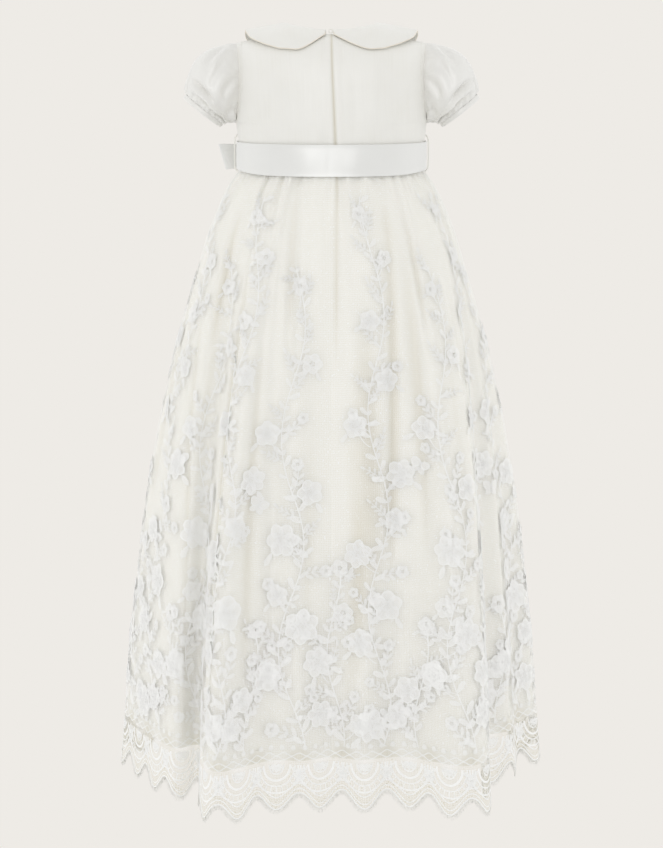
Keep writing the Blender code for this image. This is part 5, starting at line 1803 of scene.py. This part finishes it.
def work_border(work):
    """Work the border: arcs and a fan in each scallop, and corded bands along its top and hem."""
    small = petal_shape(0.0050, 0.0046, 0.0010, -0.8, 6)
    leaf = petal_shape(0.0095, 0.0040, 0.0, 0.7, 6)
    drop = petal_shape(0.0085, 0.0050, 0.0, -0.5)
    for number in range(SCALLOPS):
        middle = (number - TIP_SHIFT) / SCALLOPS
        piece = np.linspace(-0.5, 0.5, 29) / SCALLOPS + middle
        edge = hem_z(piece)
        work.add_cord(piece, edge + 0.0008, 0.0016, 0.0006)
        work.add_cord(piece, edge + 0.0052, 0.0010, 0.0004)
        lower = edge + 0.0115 + 0.0012 * np.cos((piece - middle) * SCALLOPS * 2 * math.pi)
        work.add_cord(piece, lower, 0.0012, 0.0005)
        for rise, swing in ((0.0, 0.0016), (0.0040, -0.0016)):
            wave = BORDER_TOP_Z + rise + swing * np.cos((piece - middle) * SCALLOPS * 6 * math.pi)
            work.add_cord(piece, wave, 0.0010, 0.0004)
        centre_z = BORDER_TOP_Z - 0.0060
        wide = float(read_grid("stretch", middle, centre_z))
        turn = np.linspace(0.0, math.pi, 25)
        for half_width, drop_z, width in BORDER_ARCS:
            work.add_cord(middle - half_width * np.cos(turn) / wide, centre_z - drop_z * np.sin(turn),
                          width, 0.0005)
        for degrees in range(15, 180, 15):
            angle = math.radians(degrees)
            reach = np.linspace(0.0, 1.0, 4)
            across = -(0.0180 + 0.0055 * reach) * math.cos(angle)
            work.add_cord(middle + across / wide, centre_z - (0.0222 + 0.0068 * reach) * math.sin(angle),
                          0.0009, 0.0003)
        for degrees in range(-70, 71, 35):
            work.add(drop, middle, centre_z - 0.0012, math.pi + math.radians(degrees), 0.9, lift=0.0002)
        add_bloom(work, middle + 0.5 / SCALLOPS, BORDER_TOP_Z - 0.0170, 0.0062, 5, 0.3)
        for side in (-1, 1):
            work.add(leaf, middle + 0.5 / SCALLOPS, BORDER_TOP_Z - 0.0200, math.pi + side * 0.75)
            work.add(leaf, middle + 0.5 / SCALLOPS, BORDER_TOP_Z - 0.0140, side * 0.95)
        for step in range(4):
            work.add(small, middle + (step - 1.5) / 4 / SCALLOPS, BORDER_TOP_Z + 0.0068, 0.0, 1.1)


class GOWN_OT_fringe(GownOperator, bpy.types.Operator):
    """Hang the eyelash fringe from the lace hem"""

    bl_idname = "gown.fringe"
    bl_label = "Eyelash fringe"

    def make(self):
        for number, panel in enumerate(SEAM_SHARES):
            shares = panel_shares(panel, LASH_COLUMNS)
            step = 0.2 / SCALLOPS
            slope = (hem_z(shares + step) - hem_z(shares - step)) / (2 * step * HEM_ROUND)
            ahead = unit(on_skirt(shares + 0.001, hem_z(shares)) - on_skirt(shares - 0.001, hem_z(shares)))
            lay = unit(ahead * slope[:, None] * 0.8 - (0.0, 0.0, 1.0))
            routes = [on_skirt(shares, hem_z(shares) + back + 0.0003, back * 0.5) for back in (0.0, 0.0006)]
            values = {**LASHES, "Spacing": SIZES.lash_spacing, "Length": SIZES.lash_length,
                      "Seed": 7 + number}
            fringe = add_short_threads(f"fringe_{panel}_lashes", routes, [lay, lay], values,
                                       get_material(cotton_thread))
            fringe.visible_shadow = False
            settle(fringe, "lace", "fringe_" + panel)


class GOWN_OT_sewing(GownOperator, bpy.types.Operator):
    """Sew the seams, and make the concealed zip and the neck eye"""

    bl_idname = "gown.sewing"
    bl_label = "Stitches, zip and eye"

    def make(self):
        self.sew_seams()
        self.make_zip()
        centre_y = NECK_CENTRE_Y - NECK_HALF_DEPTH - 0.0004
        centre_z = float(torso_top(0.0, NECK_CENTRE_Y - NECK_HALF_DEPTH)) + EYE_RADIUS + 0.00045 + 0.0006
        turns = full_turn(24)
        ring = np.stack([EYE_RADIUS * np.sin(turns) - 0.0008, np.full_like(turns, centre_y),
                         centre_z - EYE_RADIUS * np.cos(turns)], axis=1)
        eye = add_thread("neck_eye_thread", twisted_pair(ring, *EYE_STRANDS, closed=True),
                         EYE_STRAND_RADIUS, get_material(cotton_thread), closed=True)
        settle(eye, "thread", "neck_eye")

    def sew_seams(self):
        """Run a line of stitches beside each seam that shows."""
        routes, lays = [], []
        for front in (False, True):
            points, normals = half_bodice(front)
            lifted = points + normals * 0.00015
            line = lifted[LOWER_SPANS * BODICE_FINE:, -3]
            shoulder = lifted[-4, NECK_SPANS[front] * BODICE_FINE:-2]
            for _, flip in SIDES:
                for route in (line, shoulder):
                    routes.append(flip(route))
                    lays.append(unit(np.gradient(flip(route), axis=0)))
        hem = np.linspace(0.0, 1.0, 1600)
        heights = np.full_like(hem, LINING_HEM_Z + 0.0125)
        route = on_lining(hem, heights, 0.0006)
        routes.append(route)
        lays.append(unit(np.gradient(route, axis=0)))
        values = {**STITCHES, "Spacing": SIZES.stitch_spacing, "Length": SIZES.stitch_spacing * 0.72}
        stitches = add_short_threads("seam_stitches", routes, lays, values, get_material(cotton_thread))
        settle(stitches, "thread")

    def make_zip(self):
        """Make the zip's tape behind the opening, and the small teeth along its middle."""
        points, normals = half_bodice(False)
        inner = points - (CLOTH + SEAM_GAP) * normals
        rows = []
        for row in range(len(points) - 8, 3, -1):
            middle, beside = inner[row, 0], inner[row, 6]
            share = ZIP_HALF_WIDTH / (beside[0] - middle[0])
            edge = middle * (1 - share) + beside * share
            rows.append([edge * (-1, 1, 1), middle * (0, 1, 1), edge])
        for z in np.linspace(SKIRT_TOP_Z - 0.001, ZIP_END_Z, 40):
            wide = float(read_grid("stretch", 0.0, z))
            shares = np.array([-ZIP_HALF_WIDTH, 0.0, ZIP_HALF_WIDTH]) / wide
            rows.append(on_lining(shares, np.full(3, z), -CLOTH - SEAM_GAP))
        tape_points = np.array(rows, dtype=float)
        tape = add_cloth("back_zip_tape", tape_points, tape_points + (0.0, 1.0, 0.0),
                         get_material(tape_twill), 0.0008)
        settle(tape, "lining", "back_zip")
        middle = tape_points[2:-2, 1] + (0.0, -0.0001, 0.0)
        lay = np.tile((1.0, 0.0, 0.0), (len(middle), 1))
        teeth = add_short_threads("back_zip_teeth", [middle + (-0.0015, 0.0012, 0.0)], [lay], TEETH,
                                  get_material(cotton_thread))
        settle(teeth, "thread")


OPERATORS = (GOWN_OT_stage, GOWN_OT_bodice, GOWN_OT_collar, GOWN_OT_sleeves, GOWN_OT_sash, GOWN_OT_bow,
             GOWN_OT_lining, GOWN_OT_lace, GOWN_OT_fringe, GOWN_OT_sewing)


class GOWN_PT_sidebar(bpy.types.Panel):
    """Lists the gown's sizes, colours and operators"""

    bl_idname = "GOWN_PT_sidebar"
    bl_label = "Christening gown"
    bl_space_type = "VIEW_3D"
    bl_region_type = "UI"
    bl_category = "Gown"

    def draw(self, context):
        for group in (context.scene.gown_sizes, context.scene.gown_colours):
            for name in group.bl_rna.properties.keys():
                if name not in {"rna_type", "name"}:
                    self.layout.prop(group, name)
        for operator in OPERATORS:
            self.layout.operator(operator.bl_idname)


CLASSES = (GownColours, GownSizes, *OPERATORS, GOWN_PT_sidebar)


def register():
    """Register the classes and put their settings on the scene."""
    for item in CLASSES:
        bpy.utils.register_class(item)
    bpy.types.Scene.gown_colours = bpy.props.PointerProperty(type=GownColours)
    bpy.types.Scene.gown_sizes = bpy.props.PointerProperty(type=GownSizes)


def unregister():
    """Take the settings and the classes away again."""
    del bpy.types.Scene.gown_sizes
    del bpy.types.Scene.gown_colours
    for item in reversed(CLASSES):
        bpy.utils.unregister_class(item)


def main():
    """Dress the gown."""
    global COLOURS, SIZES
    register()
    COLOURS = bpy.context.scene.gown_colours
    SIZES = bpy.context.scene.gown_sizes
    for operator in OPERATORS:
        group, name = operator.bl_idname.split(".")
        getattr(getattr(bpy.ops, group), name)()
    boxes = {"cad": CAD_BOX, "visual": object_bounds()}
    plain = {name: [[float(value) for value in corner] for corner in box] for name, box in boxes.items()}


if __name__ == "__main__":
    main()
